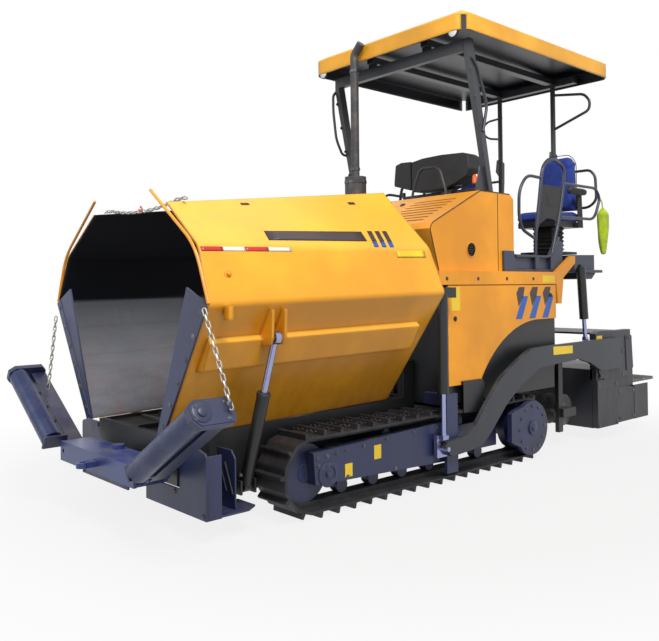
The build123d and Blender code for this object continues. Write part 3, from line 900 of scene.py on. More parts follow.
@dataclass
class Stage:
    """Floor, light and camera."""

    eye: tuple[float, float, float] = (5.090, 4.702, 1.52)
    yaw: float = 48.155
    pitch: float = 0.824
    roll: float = 0.579
    focal: float = 757.08
    centre: tuple[float, float] = (329.27, 277.67)
    image: tuple[int, int] = (659, 641)
    sensor: float = 36.0
    floor_radius: float = 60
    floor_white: float = 0.84
    floor_fade: tuple[float, float] = (2.2, 5.0)
    sky: tuple[float, float, float, float] = (0.94, 0.97, 1.0, 1)
    sky_strength: float = 0.40
    lamps: tuple = (     # name, place, aim, size, power, colour
        ("key", (3.5, 6.5, 9.5), (0, 0, 1.2), 4.5, 1150.0, (1.0, 0.97, 0.92)),
        ("fill", (9.0, -2.0, 4.5), (0.5, 0, 1.2), 6.0, 170.0, (0.92, 0.96, 1.0)))

    @staticmethod
    def stand(data: bpy.types.ID, right: np.ndarray, up: np.ndarray, back: np.ndarray,
              place: Point) -> bpy.types.Object:
        """Stand a camera or lamp at a place; it looks against its back axis.

        Args:
            data: the camera or lamp.
            right: its own x axis.
            up: its own y axis.
            back: its own z axis.
            place: where it stands.

        Returns:
            The object.
        """
        thing = bpy.data.objects.new(data.name, data)
        bpy.context.collection.objects.link(thing)
        columns = np.eye(4)
        columns[:3] = np.stack([right, up, back, np.array(place, float)], -1)
        thing.matrix_world = Matrix(columns.tolist())
        return thing

    def camera(self) -> None:
        """Set the camera where the machine was seen from."""
        yaw, pitch, roll = (math.radians(a) for a in (self.yaw, self.pitch, self.roll))
        ahead = np.array([-math.cos(yaw) * math.cos(pitch), -math.sin(yaw) * math.cos(pitch),
                          math.sin(pitch)])
        right = np.cross(ahead, [0, 0, 1.0])
        right /= np.linalg.norm(right)
        up = np.cross(right, ahead)
        across = math.cos(roll) * right - math.sin(roll) * up
        upward = math.sin(roll) * right + math.cos(roll) * up
        data = bpy.data.cameras.new("view")
        data.sensor_fit, data.sensor_width = "HORIZONTAL", self.sensor
        data.lens = self.focal * self.sensor / self.image[0]
        data.shift_x = (self.image[0] / 2 - self.centre[0]) / self.image[0]
        data.shift_y = (self.centre[1] - self.image[1] / 2) / self.image[0]
        data.clip_end = 200
        bpy.context.scene.camera = self.stand(data, across, upward, -ahead, self.eye)

    def floor(self) -> None:
        """Lay a plain pale floor that keeps the machine's shadow and fades to white."""
        turn = np.linspace(0, 2 * math.pi, 64, endpoint=False)
        points = np.stack([self.floor_radius * np.cos(turn), self.floor_radius * np.sin(turn),
                           np.zeros(64) - 0.0005], -1)
        mesh = bpy.data.meshes.new("floor")
        mesh.from_pydata(points.tolist(), [], [list(range(64))])
        tree = Tree("floor_white")
        spot = tree.spot()
        reach = tree.node("ShaderNodeVectorMath", {"operation": "LENGTH"}, {0: spot}, 1)
        path = tree.nodes.new("ShaderNodeLightPath")
        seen = Wire(tree, path.outputs["Is Camera Ray"])
        glossy = Wire(tree, path.outputs["Is Glossy Ray"])
        through = Wire(tree, path.outputs["Is Transmission Ray"])
        grain = tree.noise(30, 3)
        tree.feed("Base Color", tree.blend(grain * 0.04, srgb(150, 150, 150), srgb(136, 136, 135)))
        tree.feed("Roughness", 0.9)
        white = tree.node("ShaderNodeEmission", inputs={0: (1, 1, 1, 1), 1: 1.0})
        level = self.floor_white + reach.over(*self.floor_fade) * (1 - self.floor_white)
        share = seen.maths("MAXIMUM", glossy).maths("MAXIMUM", through) * level
        lit = Wire(tree, tree.shader.outputs[0])
        mix = tree.node("ShaderNodeMixShader", inputs={0: share, 1: lit, 2: white})
        tree.links.new(mix.socket, tree.output.inputs[0])
        mesh.materials.append(tree.material)
        thing = bpy.data.objects.new("floor", mesh)
        bpy.context.collection.objects.link(thing)

    def light(self) -> None:
        """Even sky light, white to the camera, with a soft high key lamp and a weak fill."""
        world = bpy.data.worlds.new("studio")
        bpy.context.scene.world = world
        world.use_nodes = True
        nodes, links = world.node_tree.nodes, world.node_tree.links
        nodes.clear()
        out = nodes.new("ShaderNodeOutputWorld")
        sky, seen = nodes.new("ShaderNodeBackground"), nodes.new("ShaderNodeBackground")
        path, mix = nodes.new("ShaderNodeLightPath"), nodes.new("ShaderNodeMixShader")
        sky.inputs[0].default_value, sky.inputs[1].default_value = self.sky, self.sky_strength
        seen.inputs[0].default_value, seen.inputs[1].default_value = (1, 1, 1, 1), 1.0
        white_to = [path.outputs[f"Is {kind} Ray"] for kind in ("Camera", "Glossy", "Transmission")]
        share = white_to[0]
        for ray in white_to[1:]:
            either = nodes.new("ShaderNodeMath")
            either.operation = "MAXIMUM"
            links.new(share, either.inputs[0])
            links.new(ray, either.inputs[1])
            share = either.outputs[0]
        links.new(share, mix.inputs[0])
        links.new(sky.outputs[0], mix.inputs[1])
        links.new(seen.outputs[0], mix.inputs[2])
        links.new(mix.outputs[0], out.inputs[0])
        for name, place, aim, size, power, colour in self.lamps:
            data = bpy.data.lights.new(name, "AREA")
            data.shape, data.size, data.energy, data.color = "DISK", size, power, colour
            back = np.array(place, float) - np.array(aim, float)
            back /= np.linalg.norm(back)
            right = np.cross([0, 0, 1.0], back)
            right /= np.linalg.norm(right)
            self.stand(data, right, np.cross(back, right), back, place)

    def build(self) -> None:
        """Set the stage."""
        bpy.context.scene.view_settings.view_transform = "Standard"
        self.camera()
        self.floor()
        self.light()
        log.info("stage, lamps and camera")


# ---------------------------------------------------------------- carried-over nodes


@dataclass
class CadDress:
    """Finish of each CAD node that stays in view."""

    special: dict[str, str] = field(default_factory=lambda: {
        "wing_left": "wing_paint_left", "wing_right": "wing_paint_right", "push_beam": "beam_paint",
        "wing_strip_left": "strip_paint", "wing_strip_right": "strip_paint",
        "extension_left": "screed_paint", "extension_right": "screed_paint",
        "push_roller_left": "roller_steel", "push_roller_right": "roller_steel",
        "exhaust": "silencer_steel", "canopy": "roof_paint",
    })

    def dress(self, finishes: Finishes) -> None:
        """Give every node its finish.

        Args:
            finishes: all finishes.
        """
        for name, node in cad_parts.items():
            for slot in node.material_slots:
                own = slot.material.name.split(".")[0] if slot.material else ""
                slot.material = finishes.made.get(self.special.get(name, own), finishes["black_paint"])
        log.info("finishes on %d nodes", len(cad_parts))


# ---------------------------------------------------------------- modelling on live meshes


def baked(thing: bpy.types.Object) -> None:
    """Replace an object's mesh with what its modifiers make of it, and drop the modifiers."""
    graph = bpy.context.evaluated_depsgraph_get()
    mesh = bpy.data.meshes.new_from_object(thing.evaluated_get(graph))
    thing.modifiers.clear()
    thing.data = mesh


def skin_patch(name: str, grid: np.ndarray, node: str, material: bpy.types.Material, body: str,
               slot: str, thickness: float = 0.0016) -> bpy.types.Object:
    """A thin film laid on a node: the grid is drawn onto its surface, then thickened outwards.

    Args:
        name: name of the object.
        grid: points near the surface, shape (rows, places, 3), from the drawings' zero.
        node: the CAD node.
        material: its finish.
        body: the body that it rides on.
        slot: the record's material slot.
        thickness: thickness of the film, in metres.

    Returns:
        The object.
    """
    rows, places = grid.shape[:2]
    i, j = np.meshgrid(np.arange(rows - 1), np.arange(places - 1), indexing="ij")
    corner = i * places + j
    faces = np.stack([corner, corner + 1, corner + places + 1, corner + places], -1).reshape(-1, 4)
    form = Form(grid.reshape(-1, 3), faces.tolist())
    thing = form.piece(name, material, body, slot)
    wrap = thing.modifiers.new("lay", "SHRINKWRAP")
    wrap.target, wrap.wrap_method, wrap.wrap_mode, wrap.offset = (
        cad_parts[node], "NEAREST_SURFACEPOINT", "ABOVE_SURFACE", 0.0012)
    thick = thing.modifiers.new("film", "SOLIDIFY")
    thick.thickness, thick.offset = thickness, 0.0
    baked(thing)
    return thing


def swollen(form: Form, name: str, material: bpy.types.Material, body: str, slot: str, cap: float,
            voxel: float = 0.009) -> bpy.types.Object:
    """A stuffed cloth piece: remeshed, blown up by the cloth solver, capped and smoothed.

    Args:
        form: the slightly small shape.
        name: name of the object.
        material: its cloth.
        body: the body that it rides on.
        slot: the record's material slot.
        cap: the most that a point may move, in metres.
        voxel: size of the remesh, in metres.

    Returns:
        The object.
    """
    thing = form.piece(name, material, body, slot, smooth=180)
    mesh = thing.modifiers.new("skin", "REMESH")
    mesh.mode, mesh.voxel_size, mesh.use_smooth_shade = "VOXEL", voxel, True
    soft = thing.modifiers.new("ease", "SMOOTH")
    soft.factor, soft.iterations = 0.6, 6
    baked(thing)
    count = len(thing.data.vertices)
    rest = np.empty(count * 3)
    thing.data.vertices.foreach_get("co", rest)
    rest = rest.reshape(-1, 3)
    cloth = thing.modifiers.new("cloth", "CLOTH")
    cloth.settings.quality = 4
    cloth.settings.use_pressure = True
    cloth.settings.uniform_pressure_force = 4.0
    cloth.settings.effector_weights.gravity = 0.0
    cloth.point_cache.frame_start, cloth.point_cache.frame_end = 1, 20
    scene = bpy.context.scene
    for step in range(1, 21):
        scene.frame_set(step)
    graph = bpy.context.evaluated_depsgraph_get()
    blown = np.empty(count * 3)
    thing.evaluated_get(graph).data.vertices.foreach_get("co", blown)
    thing.modifiers.remove(cloth)
    scene.frame_set(1)
    move = blown.reshape(-1, 3) - rest
    length = np.linalg.norm(move, axis=1, keepdims=True)
    place = rest + move * np.minimum(1.0, cap / np.maximum(length, 1e-9))
    thing.data.vertices.foreach_set("co", place.ravel())
    thing.data.update()
    thing.data.materials.clear()
    thing.data.materials.append(material)
    thing.data.shade_smooth()
    return thing


# ---------------------------------------------------------------- hopper


@dataclass
class Wings:
    """Folded hopper wings: marks, edge bands, lugs and the chain between them."""

    front_x: float = 4625
    rear_x: float = 2513
    front: tuple = ((530, 607), (1050, 1430), (912, 1775), (395, 2145))
    rear: tuple = ((530, 652), (1040, 1480), (925, 1815), (375, 2342))
    skin: float = 12
    strip: tuple = ((4577, 4426, "red"), (4426, 4263, "white"), (4263, 4088, "red"),
                    (4088, 3905, "white"))
    strip_heights: tuple[float, float] = (0.90, 0.985)
    band: tuple[float, float, float, float] = (4040, 3170, 0.085, 0.24)
    band_start: float = 3120
    band_step: float = 78
    label: tuple[float, float, float, float] = (2940, 2630, 0.78, 0.95)
    slot_x: tuple[float, float] = (3990, 3000)
    slot_half: float = 34
    slot_heights: tuple[float, float] = (0.69, 0.73)
    edge_x: float = 4621
    edge_bolts: int = 6
    edge_way: tuple[float, float] = (0.846, -0.534)
    edge_out: float = 9
    edge_width: float = 52
    rim_x: float = 4610
    rim: Outline = ((1058, 1440), (921, 1780), (400, 2154))
    lug_x: float = 4431
    lug: Outline = ((-6, 26), (3, 26), (5, 22), (5, 12), (16, 12), (18, 9))
    chain_x: float = 4452
    chain_z: float = 2100
    clip: Outline = ((-52, 2078), (-30, 2050), (-8, 2078), (-30, 2096))
    chain_pitch: float = 44.0
    chain_links: int = 26
    chain_start: float = 550
    chain_dip: float = 40
    chain_half: float = 470

    def surface(self, x: np.ndarray, share: np.ndarray, panel: int, side: Side) -> np.ndarray:
        """Points on an outer panel: the front and rear section lines, mixed along the machine.

        Args:
            x: places along, in millimetres, any shape.
            share: height within the panel, 0 at its lower edge, same shape.
            panel: which panel, 0 to 2 upwards.
            side: side of the machine.

        Returns:
            Points in metres, just outside the section line.
        """
        f = ((self.front_x - x) / (self.front_x - self.rear_x))[..., None]
        front, rear = np.array(self.front, float), np.array(self.rear, float)
        low = front[panel] * (1 - f) + rear[panel] * f
        high = front[panel + 1] * (1 - f) + rear[panel + 1] * f
        t = share[..., None]
        across = high - low
        across /= np.linalg.norm(across, axis=-1, keepdims=True)
        out = np.stack([across[..., 1], -across[..., 0]], -1)
        yz = low * (1 - t) + high * t + out * self.skin
        return np.stack([x, yz[..., 0] * side.value, yz[..., 1]], -1) * MM

    def patch(self, name: str, corners: tuple[float, float, float, float], panel: int, side: Side,
              material: bpy.types.Material, slot: str, lean: float = 0.0) -> None:
        """A film between two places along and two heights of a panel.

        Args:
            name: name of the piece.
            corners: x at the front, x at the rear, lower share, upper share.
            panel: which panel.
            side: side of the machine.
            material: finish.
            slot: material slot.
            lean: how far the top leans back, in millimetres.
        """
        x0, x1, s0, s1 = corners
        u, v = np.meshgrid(np.linspace(0, 1, 9), np.linspace(0, 1, 5), indexing="ij")
        x, s = x0 + (x1 - x0) * u - lean * v, s0 + (s1 - s0) * v
        grid = self.surface(x, s, panel, side)
        if side is Side.RIGHT:
            grid = grid[:, ::-1]
        skin_patch(name, grid, f"wing_{side.word}", material, f"wing_{side.word}", slot)

    def marks(self, finishes: Finishes, side: Side) -> None:
        """Reflective strip, dark band with leaning bars, the blank label, and dark films in the lift slots
        that are painted shade.

        Args:
            finishes: all finishes.
            side: side of the machine.
        """
        rows = [     # name, corners, panel, finish, slot, lean
            (f"strip_{n}", (x0, x1, *self.strip_heights), 1, f"strip_{colour}", "lamp_glass", 0.0)
            for n, (x0, x1, colour) in enumerate(self.strip)]
        rows.append(("band_high", self.band, 2, "band_dark", "dark_paint", 20))
        for n in range(3):
            x = self.band_start - self.band_step * n
            rows += [
                (f"band_bar_{n}", (x, x - 46, 0.085, 0.25), 2, "band_dark", "dark_paint", 34),
                (f"band_blue_{n}", (x + 22, x - 24, 0.0, 0.08), 2, "flap_blue", "navy_paint", 18)]
        rows.append(("wing_label", self.label, 1, "label_yellow", "lamp_glass", 0.0))
        # Lift slots: dark films, painted shade in the openings.
        for n, x in enumerate(self.slot_x):
            corners = (x + self.slot_half, x - self.slot_half, *self.slot_heights)
            rows.append((f"lift_slot_{n}", corners, 2, "label_black", "black_paint", 0.0))
        for name, corners, panel, finish, slot, lean in rows:
            self.patch(f"{name}_{side.word}", corners, panel, side, finishes[finish], slot, lean)

    def fasteners(self, finishes: Finishes, side: Side) -> None:
        """Edge band with its bolts, rolled rim and folding lug.

        Args:
            finishes: all finishes.
            side: side of the machine.
        """
        low, high = np.array(self.front[:2], float)
        t = np.linspace(0.08, 0.94, self.edge_bolts)[:, None]
        seats = low * (1 - t) + high * t + np.array([-18.0, 11])
        heads = bolts([(self.edge_x, y, z) for y, z in seats.tolist()], AHEAD, 13, 4.5)
        across = np.array(self.edge_way)
        out, width = across * self.edge_out, across * -self.edge_width
        corners = np.array([low + out, high + out, high + width, low + width])
        band = plate([tuple(c) for c in corners.tolist()], Plane.CROSS, self.rim_x, self.edge_x)
        dress(side, finishes, [
            ("wing_edge_band_{}", band, "strip_paint", "wing_{}", "navy_paint", 0.002),
            ("wing_rim_{}", tube(at_x(self.rim, self.rim_x), 10, 130, 10), "yellow_paint", "wing_{}",
             "yellow_paint", 0.0),
            ("strip_bolts_{}", heads, "bolt_steel", "wing_{}", "worn_steel", 0.0),
        ])
        spot = self.surface(np.array([self.lug_x]), np.array([0.5]), 1, side)[0] / MM
        lug = turned_form(self.lug, tuple(spot), (0, 1.0 * side.value, 0.2), 20)
        lug.piece(f"fold_lug_{side.word}", finishes["yellow_paint"], f"wing_{side.word}",
                  "yellow_paint")

    def holding_chain(self, finishes: Finishes) -> None:
        """Round-link chain between the folded wings, kept by the right one, with its clip.

        Its dip across y is dip · (1 − (y / half)²), and it is level beyond half.

        Args:
            finishes: all finishes.
        """
        y = self.chain_pitch * np.arange(self.chain_links) - self.chain_start
        dip = self.chain_dip * np.maximum(0, 1 - (y / self.chain_half) ** 2)
        places = np.stack([np.full(self.chain_links, self.chain_x), y, self.chain_z - dip], -1)
        chain(places, self.chain_pitch).piece("wing_chain", finishes["chain_steel"], "wing_right",
                                              "worn_steel")
        clip = tube(at_x(self.clip, self.chain_x), 7, 10, 8)
        clip.piece("chain_clip", finishes["strip_red"], "wing_right", "lamp_glass")

    def build(self, finishes: Finishes) -> None:
        """Dress both wings."""
        for side in Side:
            self.marks(finishes, side)
            self.fasteners(finishes, side)
        self.holding_chain(finishes)
        log.info("wings")


@dataclass
class RollerArms:
    """Keepers, bolts and storage chains on the folded arms of the push rollers."""

    hinge: tuple[float, float] = (575, 405)
    fold: float = 31.5
    links: int = 15
    link_pitch: float = 40
    left_chain: tuple[Point, Point] = ((4668, 1110, 1396), (4664, 1350, 905))
    right_chain: tuple[Point, Point] = ((4664, -978, 1306), (4724, -973, 808))
    hook: Outline = ((-8, 22), (12, 4), (4, -22), (-12, -8))
    end: float = 890
    roller_x: float = 4830
    roller_lift: float = 16
    keeper: Outline = ((-2, 58), (7, 58), (9, 54), (9, 27), (17, 27), (19, 23))
    rim: Outline = ((4650, -58), (4852, -58), (4892, -16), (4892, 50), (4856, 78), (4650, 78))
    end_bolts: Outline = ((4672, -38), (4672, 58), (4868, 48), (4868, -14))
    back_x: float = 4736
    back_bolts: tuple[float, ...] = (130, 300, 470, 640)

    def folded(self, form: Form) -> Form:
        """A form drawn with the arm level, turned up to its stored place."""
        return form.turned("x", self.fold, (0, self.hinge[0] * MM, self.hinge[1] * MM))

    def build(self, finishes: Finishes) -> None:
        """Add keepers, bolts and chains on both sides."""
        y0, z0 = self.hinge
        face = y0 + self.end
        keeper = turned_form(self.keeper, (self.roller_x, face, z0 + self.roller_lift), OUT, 28)
        rim = plate([(x, z0 + z) for x, z in self.rim], Plane.SIDE, face - 1, face + 4)
        heads = bolts([(x, face + 4, z0 + z) for x, z in self.end_bolts], OUT, 9, 7)
        back = bolts([(self.back_x, y0 + y, z0) for y in self.back_bolts], AHEAD, 9, 7)
        rows = [
            ("arm_keeper_{}", self.folded(Form.joined([keeper, rim])), "navy_paint", "roller_arm_{}",
             "navy_paint", 0.0015),
            ("arm_bolts_{}", self.folded(Form.joined([heads, back])), "bolt_steel", "roller_arm_{}",
             "worn_steel", 0.0),
        ]
        for side in Side:
            dress(side, finishes, rows)
        for word, ends in (("left", self.left_chain), ("right", self.right_chain)):
            body = f"roller_arm_{word}"
            chain(run_of(*ends, self.links), self.link_pitch).piece(
                f"storage_chain_{word}", finishes["chain_steel"], body, "worn_steel")
            x, y, z = ends[1]
            hook = tube([(x + dx, y, z + dz) for dx, dz in self.hook], 6, 12, 8)
            hook.piece(f"chain_hook_{word}", finishes["bolt_steel"], body, "worn_steel")
        log.info("arm keepers and chains")


# ---------------------------------------------------------------- running gear


@dataclass
class Tracks:
    """Shoe bolts, cover bolts and blank labels of the two tracks."""

    sprocket_x: float = 1231
    wheel_z: float = 288
    line: float = 262
    pad: float = 13
    pitch: float = 154
    shoes: int = 16
    bolt_steps: tuple[float, ...] = (20, 52)
    bolt_rows: tuple[float, ...] = (655, 705, 795, 845)
    cover_face: float = 880
    cover_spots: Outline = (
        (3652, 391), (3568, 393), (3482, 395), (3642, 333), (3604, 316), (3550, 334), (3509, 317),
        (3388, 405), (3220, 412), (2990, 430), (2700, 440), (2440, 444), (3380, 222), (2900, 200),
        (2420, 190))
    labels: tuple[Outline, ...] = (
        ((3405, 313), (3335, 313), (3335, 222), (3405, 222)),
        ((3121, 400), (3050, 400), (3050, 300), (3121, 300)))
    grease_cover: Point = (3560, 880, 270)
    grease_profile: Outline = ((0, 86), (6, 86), (8, 82), (8, 60), (2, 58), (2, 20), (14, 20), (16, 16))
    drive: Point = (1235, 950, 290)
    drive_profile: Outline = ((-1, 60), (10, 60), (14, 54), (14, 30), (22, 28), (24, 24))
    drive_ring: float = 190
    drive_bolts: int = 12

    def shoe_bolts(self) -> Form:
        """Bolt heads on each shoe of the upper run, in two lines of four across the shoe.

        Returns:
            The heads on the left track.
        """
        seats = [(self.sprocket_x + (n + 0.5) * self.pitch + step, y, self.wheel_z + self.line + self.pad)
                 for n in range(self.shoes) for step in self.bolt_steps for y in self.bolt_rows]
        return bolts(seats, UP, 8, 5, False)

    def drive_heads(self) -> Form:
        """Bolt heads of the drive cover: ring · cos(n · turn) along and ring · sin(n · turn) up.

        Returns:
            The heads on the left side.
        """
        x, y, z = self.drive
        turns = [math.radians(360 / self.drive_bolts * n) for n in range(self.drive_bolts)]
        return bolts([(x + self.drive_ring * math.cos(a), y, z + self.drive_ring * math.sin(a))
                      for a in turns], OUT, 12, 9)

    def build(self, finishes: Finishes) -> None:
        """Dress both track frames and tracks."""
        heads = bolts(at_y(self.cover_spots, self.cover_face), OUT, 12, 9)
        label = Form.joined([film(corners, self.cover_face, 0.5, 1.6) for corners in self.labels])
        ring = turned_form(self.grease_profile, self.grease_cover, OUT, 36)
        plug = turned_form(self.drive_profile, self.drive, OUT, 32)
        rows = [
            ("cover_bolts_{}", heads, "bolt_steel", "root", "worn_steel", 0.0),
            ("drive_bolts_{}", self.drive_heads(), "bolt_steel", "root", "worn_steel", 0.0),
            ("drive_plug_{}", plug, "navy_paint", "root", "navy_paint", 0.0),
            ("grease_cover_{}", ring, "navy_paint", "root", "navy_paint", 0.0),
            ("frame_labels_{}", label, "label_yellow", "root", "lamp_glass", 0.0),
            ("shoe_bolts_{}", self.shoe_bolts(), "bolt_steel", "root", "worn_steel", 0.0),
        ]
        for side in Side:
            dress(side, finishes, rows)
        log.info("track dress")


@dataclass
class TrackGuards:
    """Folded plates before the tracks with their slotted stays; stands for the plain plates."""

    front: float = 4510
    sheet: float = 15
    low: float = 145
    top: float = 528
    foot_top: float = 157
    inner: float = 600
    outer: float = 862
    flange_rear: float = 4398
    stay_x: float = 4262
    slot_lines: tuple = (((621, 445), (709, 255)), ((691, 435), (779, 245)))
    bolt_spots: Outline = ((160, 262), (500, 262), (590, 540), (830, 170))

    def plates(self) -> list[Form]:
        """Face, flange, foot, stay and rib of the left plate.

        Returns:
            The forms.
        """
        back, low, foot_top, inner = self.front - self.sheet, self.low, self.foot_top, self.inner
        face = plate([(130, low), (self.outer, low), (self.outer, self.top), (846, 545), (772, 563),
                      (552, 563), (552, 285), (130, 285)], Plane.CROSS, back, self.front)
        flange = block(self.flange_rear, back, 850, self.outer, low, self.top)
        foot = plate([(back, inner), (4100, inner), (4100, 790), (4190, 850), (back, 850)],
                     Plane.LEVEL, low, foot_top)
        stay = plate([(inner, foot_top), (800, foot_top), (800, 470), (760, 520), (inner, 520)],
                     Plane.CROSS, self.stay_x - 12, self.stay_x)
        rib = block(self.stay_x, back, inner, inner + 12, foot_top, 420)
        return [face, flange, foot, stay, rib]

    def build(self, finishes: Finishes) -> None:
        """Build both plates."""
        # Slots of the stays: dark rods, painted shade in the openings.
        slots = Form.joined([tube(at_x(line, self.stay_x), 8, 0, 10) for line in self.slot_lines])
        heads = bolts(at_x(self.bolt_spots, self.front), AHEAD, 13, 9)
        plates = Form.joined(self.plates())
        rows = [
            ("guard_slots_{}", slots, "label_black", "root", "black_paint", 0.0),
            ("guard_bolts_{}", heads, "bolt_steel", "root", "worn_steel", 0.0),
        ]
        for side in Side:
            made = plates.on(side).piece(f"track_guard_{side.word}", finishes["navy_paint"], "root",
                                         "navy_paint", 0.002)
            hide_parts("guard_plates")
            dress(side, finishes, rows)
        log.info("plates before the tracks")


# ---------------------------------------------------------------- body and deck


@dataclass
class Body:
    """Marks, latch, vents and step panels of the yellow body."""

    door_face: float = 885
    beam_face: float = 890
    hood_face: float = 845
    bar_start: float = 1316
    bar_step: float = 206
    bar: Outline = ((0, 1516), (42, 1463), (9, 1346), (-62, 1433), (-86, 1516))
    blue: Outline = ((-54, 1436), (-136, 1436), (-39, 1238), (56, 1238))
    label: Outline = ((2245, 1523), (2135, 1523), (2135, 1332), (2245, 1332))
    end_label: Outline = ((955, 1618), (755, 1618), (755, 1552), (955, 1552))
    vent_x: float = 1930
    vent_low: float = 1784
    vent_step: float = 20
    vent_height: float = 10
    vent_halves: tuple[float, ...] = (22, 42, 48, 42, 22)
    vent_rim: Outline = ((0, 66), (4, 66), (6, 62), (6, 56), (1, 54))
    latch: Outline = ((-2, 24), (8, 24), (12, 20), (12, 8), (16, 7))
    latch_place: Point = (1948, 108, 2256)
    latch_way: Point = (0.43, 0, 0.9)
    step: Outline = ((2135, 520), (1887, 510), (1856, 728), (1885, 770), (2135, 770))
    handle: Outline = ((0, 20), (5, 20), (7, 16), (7, 10), (14, 9))
    handle_spots: Outline = ((820, 1440), (2200, 1270))
    hood_seam: Outline = ((2344, 1655), (2446, 1983), (2418, 2029), (1798, 2328), (1385, 2326))
    panel_seam: Outline = ((1560, 1655), (1560, 2324))
    screw_x: tuple[float, ...] = (2300, 1900, 1500, 1100)
    screw_z: float = 1590

    def slanted(self, outline: Outline) -> Form:
        """Three like films on the door, a step apart.

        Args:
            outline: outline of one, its x from the bar's start.

        Returns:
            The films.
        """
        starts = [self.bar_start - self.bar_step * n for n in range(3)]
        return Form.joined([film([(x + dx, z) for dx, z in outline], self.door_face) for x in starts])

    def vents(self) -> Form:
        """Slots of the round side vent, longer towards its middle, as dark films that are painted shade in
        the openings.

        Returns:
            The slots on the left side.
        """
        forms = []
        for n, half in enumerate(self.vent_halves):
            low = self.vent_low + self.vent_step * n
            high = low + self.vent_height
            forms.append(film([(self.vent_x - half, low), (self.vent_x + half, low),
                               (self.vent_x + half, high), (self.vent_x - half, high)],
                              self.hood_face, 0.5, 1.2))
        return Form.joined(forms)

    def build(self, finishes: Finishes) -> None:
        """Dress hood and doors."""
        seam_y = self.hood_face + 1
        rim = turned_form(self.vent_rim, (self.vent_x, self.hood_face - 1, 1828), OUT, 40)
        latch = turned_form(self.latch, self.latch_place, self.latch_way, 24)
        step = Form.joined([plate(self.step, Plane.SIDE, 902, 910),
                            block(1900, 2135, 852, 902, 740, 770)])
        handles = Form.joined([turned_form(self.handle, place, OUT, 20)
                               for place in at_y(self.handle_spots, self.door_face)])
        seams = Form.joined([tube(at_y(self.hood_seam, seam_y), 4, 20, 6),
                             tube(at_y(self.panel_seam, seam_y), 3, 0, 6)])
        screws = bolts([(x, self.beam_face, self.screw_z) for x in self.screw_x], OUT, 11, 7)
        rows = [
            ("door_bars_{}", self.slanted(self.bar), "band_dark", "door_{}", "dark_paint", 0.0),
            ("door_blues_{}", self.slanted(self.blue), "flap_blue", "door_{}", "navy_paint", 0.0),
            ("door_label_{}", film(self.label, self.door_face), "label_yellow", "door_{}",
             "lamp_glass", 0.0),
            ("beam_label_{}", film(self.end_label, self.beam_face), "label_yellow", "root",
             "lamp_glass", 0.0),
            ("door_latches_{}", handles, "black_plastic", "door_{}", "black_plastic", 0.0),
            # Vent slots: dark films, painted shade in the openings.
            ("hood_vent_{}", self.vents(), "label_black", "root", "black_paint", 0.0),
            ("hood_vent_rim_{}", rim, "yellow_paint", "root", "yellow_paint", 0.0),
            ("side_step_{}", step, "black_paint", "root", "black_paint", 0.002),
            ("hood_seams_{}", seams, "black_plastic", "root", "black_plastic", 0.0),
            ("beam_bolts_{}", screws, "bolt_steel", "root", "worn_steel", 0.0),
        ]
        for side in Side:
            dress(side, finishes, rows)
        latch.piece("hood_latch", finishes["black_plastic"], "root", "black_plastic")
        log.info("body marks")


@dataclass
class Deck:
    """Operator's deck, its boxes and coamings; stands for the plain deck."""

    rear: float = -200
    front: float = 1327
    half: float = 850
    low: float = 1652
    top: float = 1680
    coaming: Outline = ((555, 1680), (1327, 1680), (1327, 1788), (785, 1788), (640, 1960),
                        (530, 1936), (555, 1700))
    wing: Outline = ((1342, 1652), (1505, 1652), (1505, 1832), (1360, 1832), (1342, 1780))
    tank: Outline = ((-130, 1680), (-130, 1832), (256, 1823), (256, 1680))
    under: Outline = ((-155, 1652), (206, 1652), (180, 1590), (-79, 1589))
    edge: Outline = ((1320, 1792), (785, 1792), (642, 1966))
    tread_pitch: float = 36
    tread_width: float = 12
    tread_half: float = 290

    def build(self, finishes: Finishes) -> None:
        """Build the deck."""
        floor = block(self.rear, self.front, -self.half, self.half, self.low, self.top)
        boxes = [plate(outline, Plane.SIDE, *depth).both() for outline, depth in (
            (self.coaming, (820, 850)), (self.wing, (846, 870)), (self.tank, (300, 800)),
            (self.under, (300, 800)))]
        made = Form.joined([floor, *boxes]).piece("deck", finishes["deck_paint"], "root",
                                                  "black_paint", 0.004)
        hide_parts("platform")
        edge = tube(at_y(self.edge, 852), 5, 30, 8).both()
        edge.piece("coaming_edge", finishes["pale_plate"], "root", "worn_steel")
        ribs = np.arange(self.rear + 20, 1300, float(self.tread_pitch)).tolist()
        treads = [block(x, x + self.tread_width, -self.tread_half, self.tread_half, self.top - 1,
                        self.top + 3) for x in ribs]
        Form.joined(treads).piece("deck_treads", finishes["worn_steel"], "root", "worn_steel")
        log.info("deck")


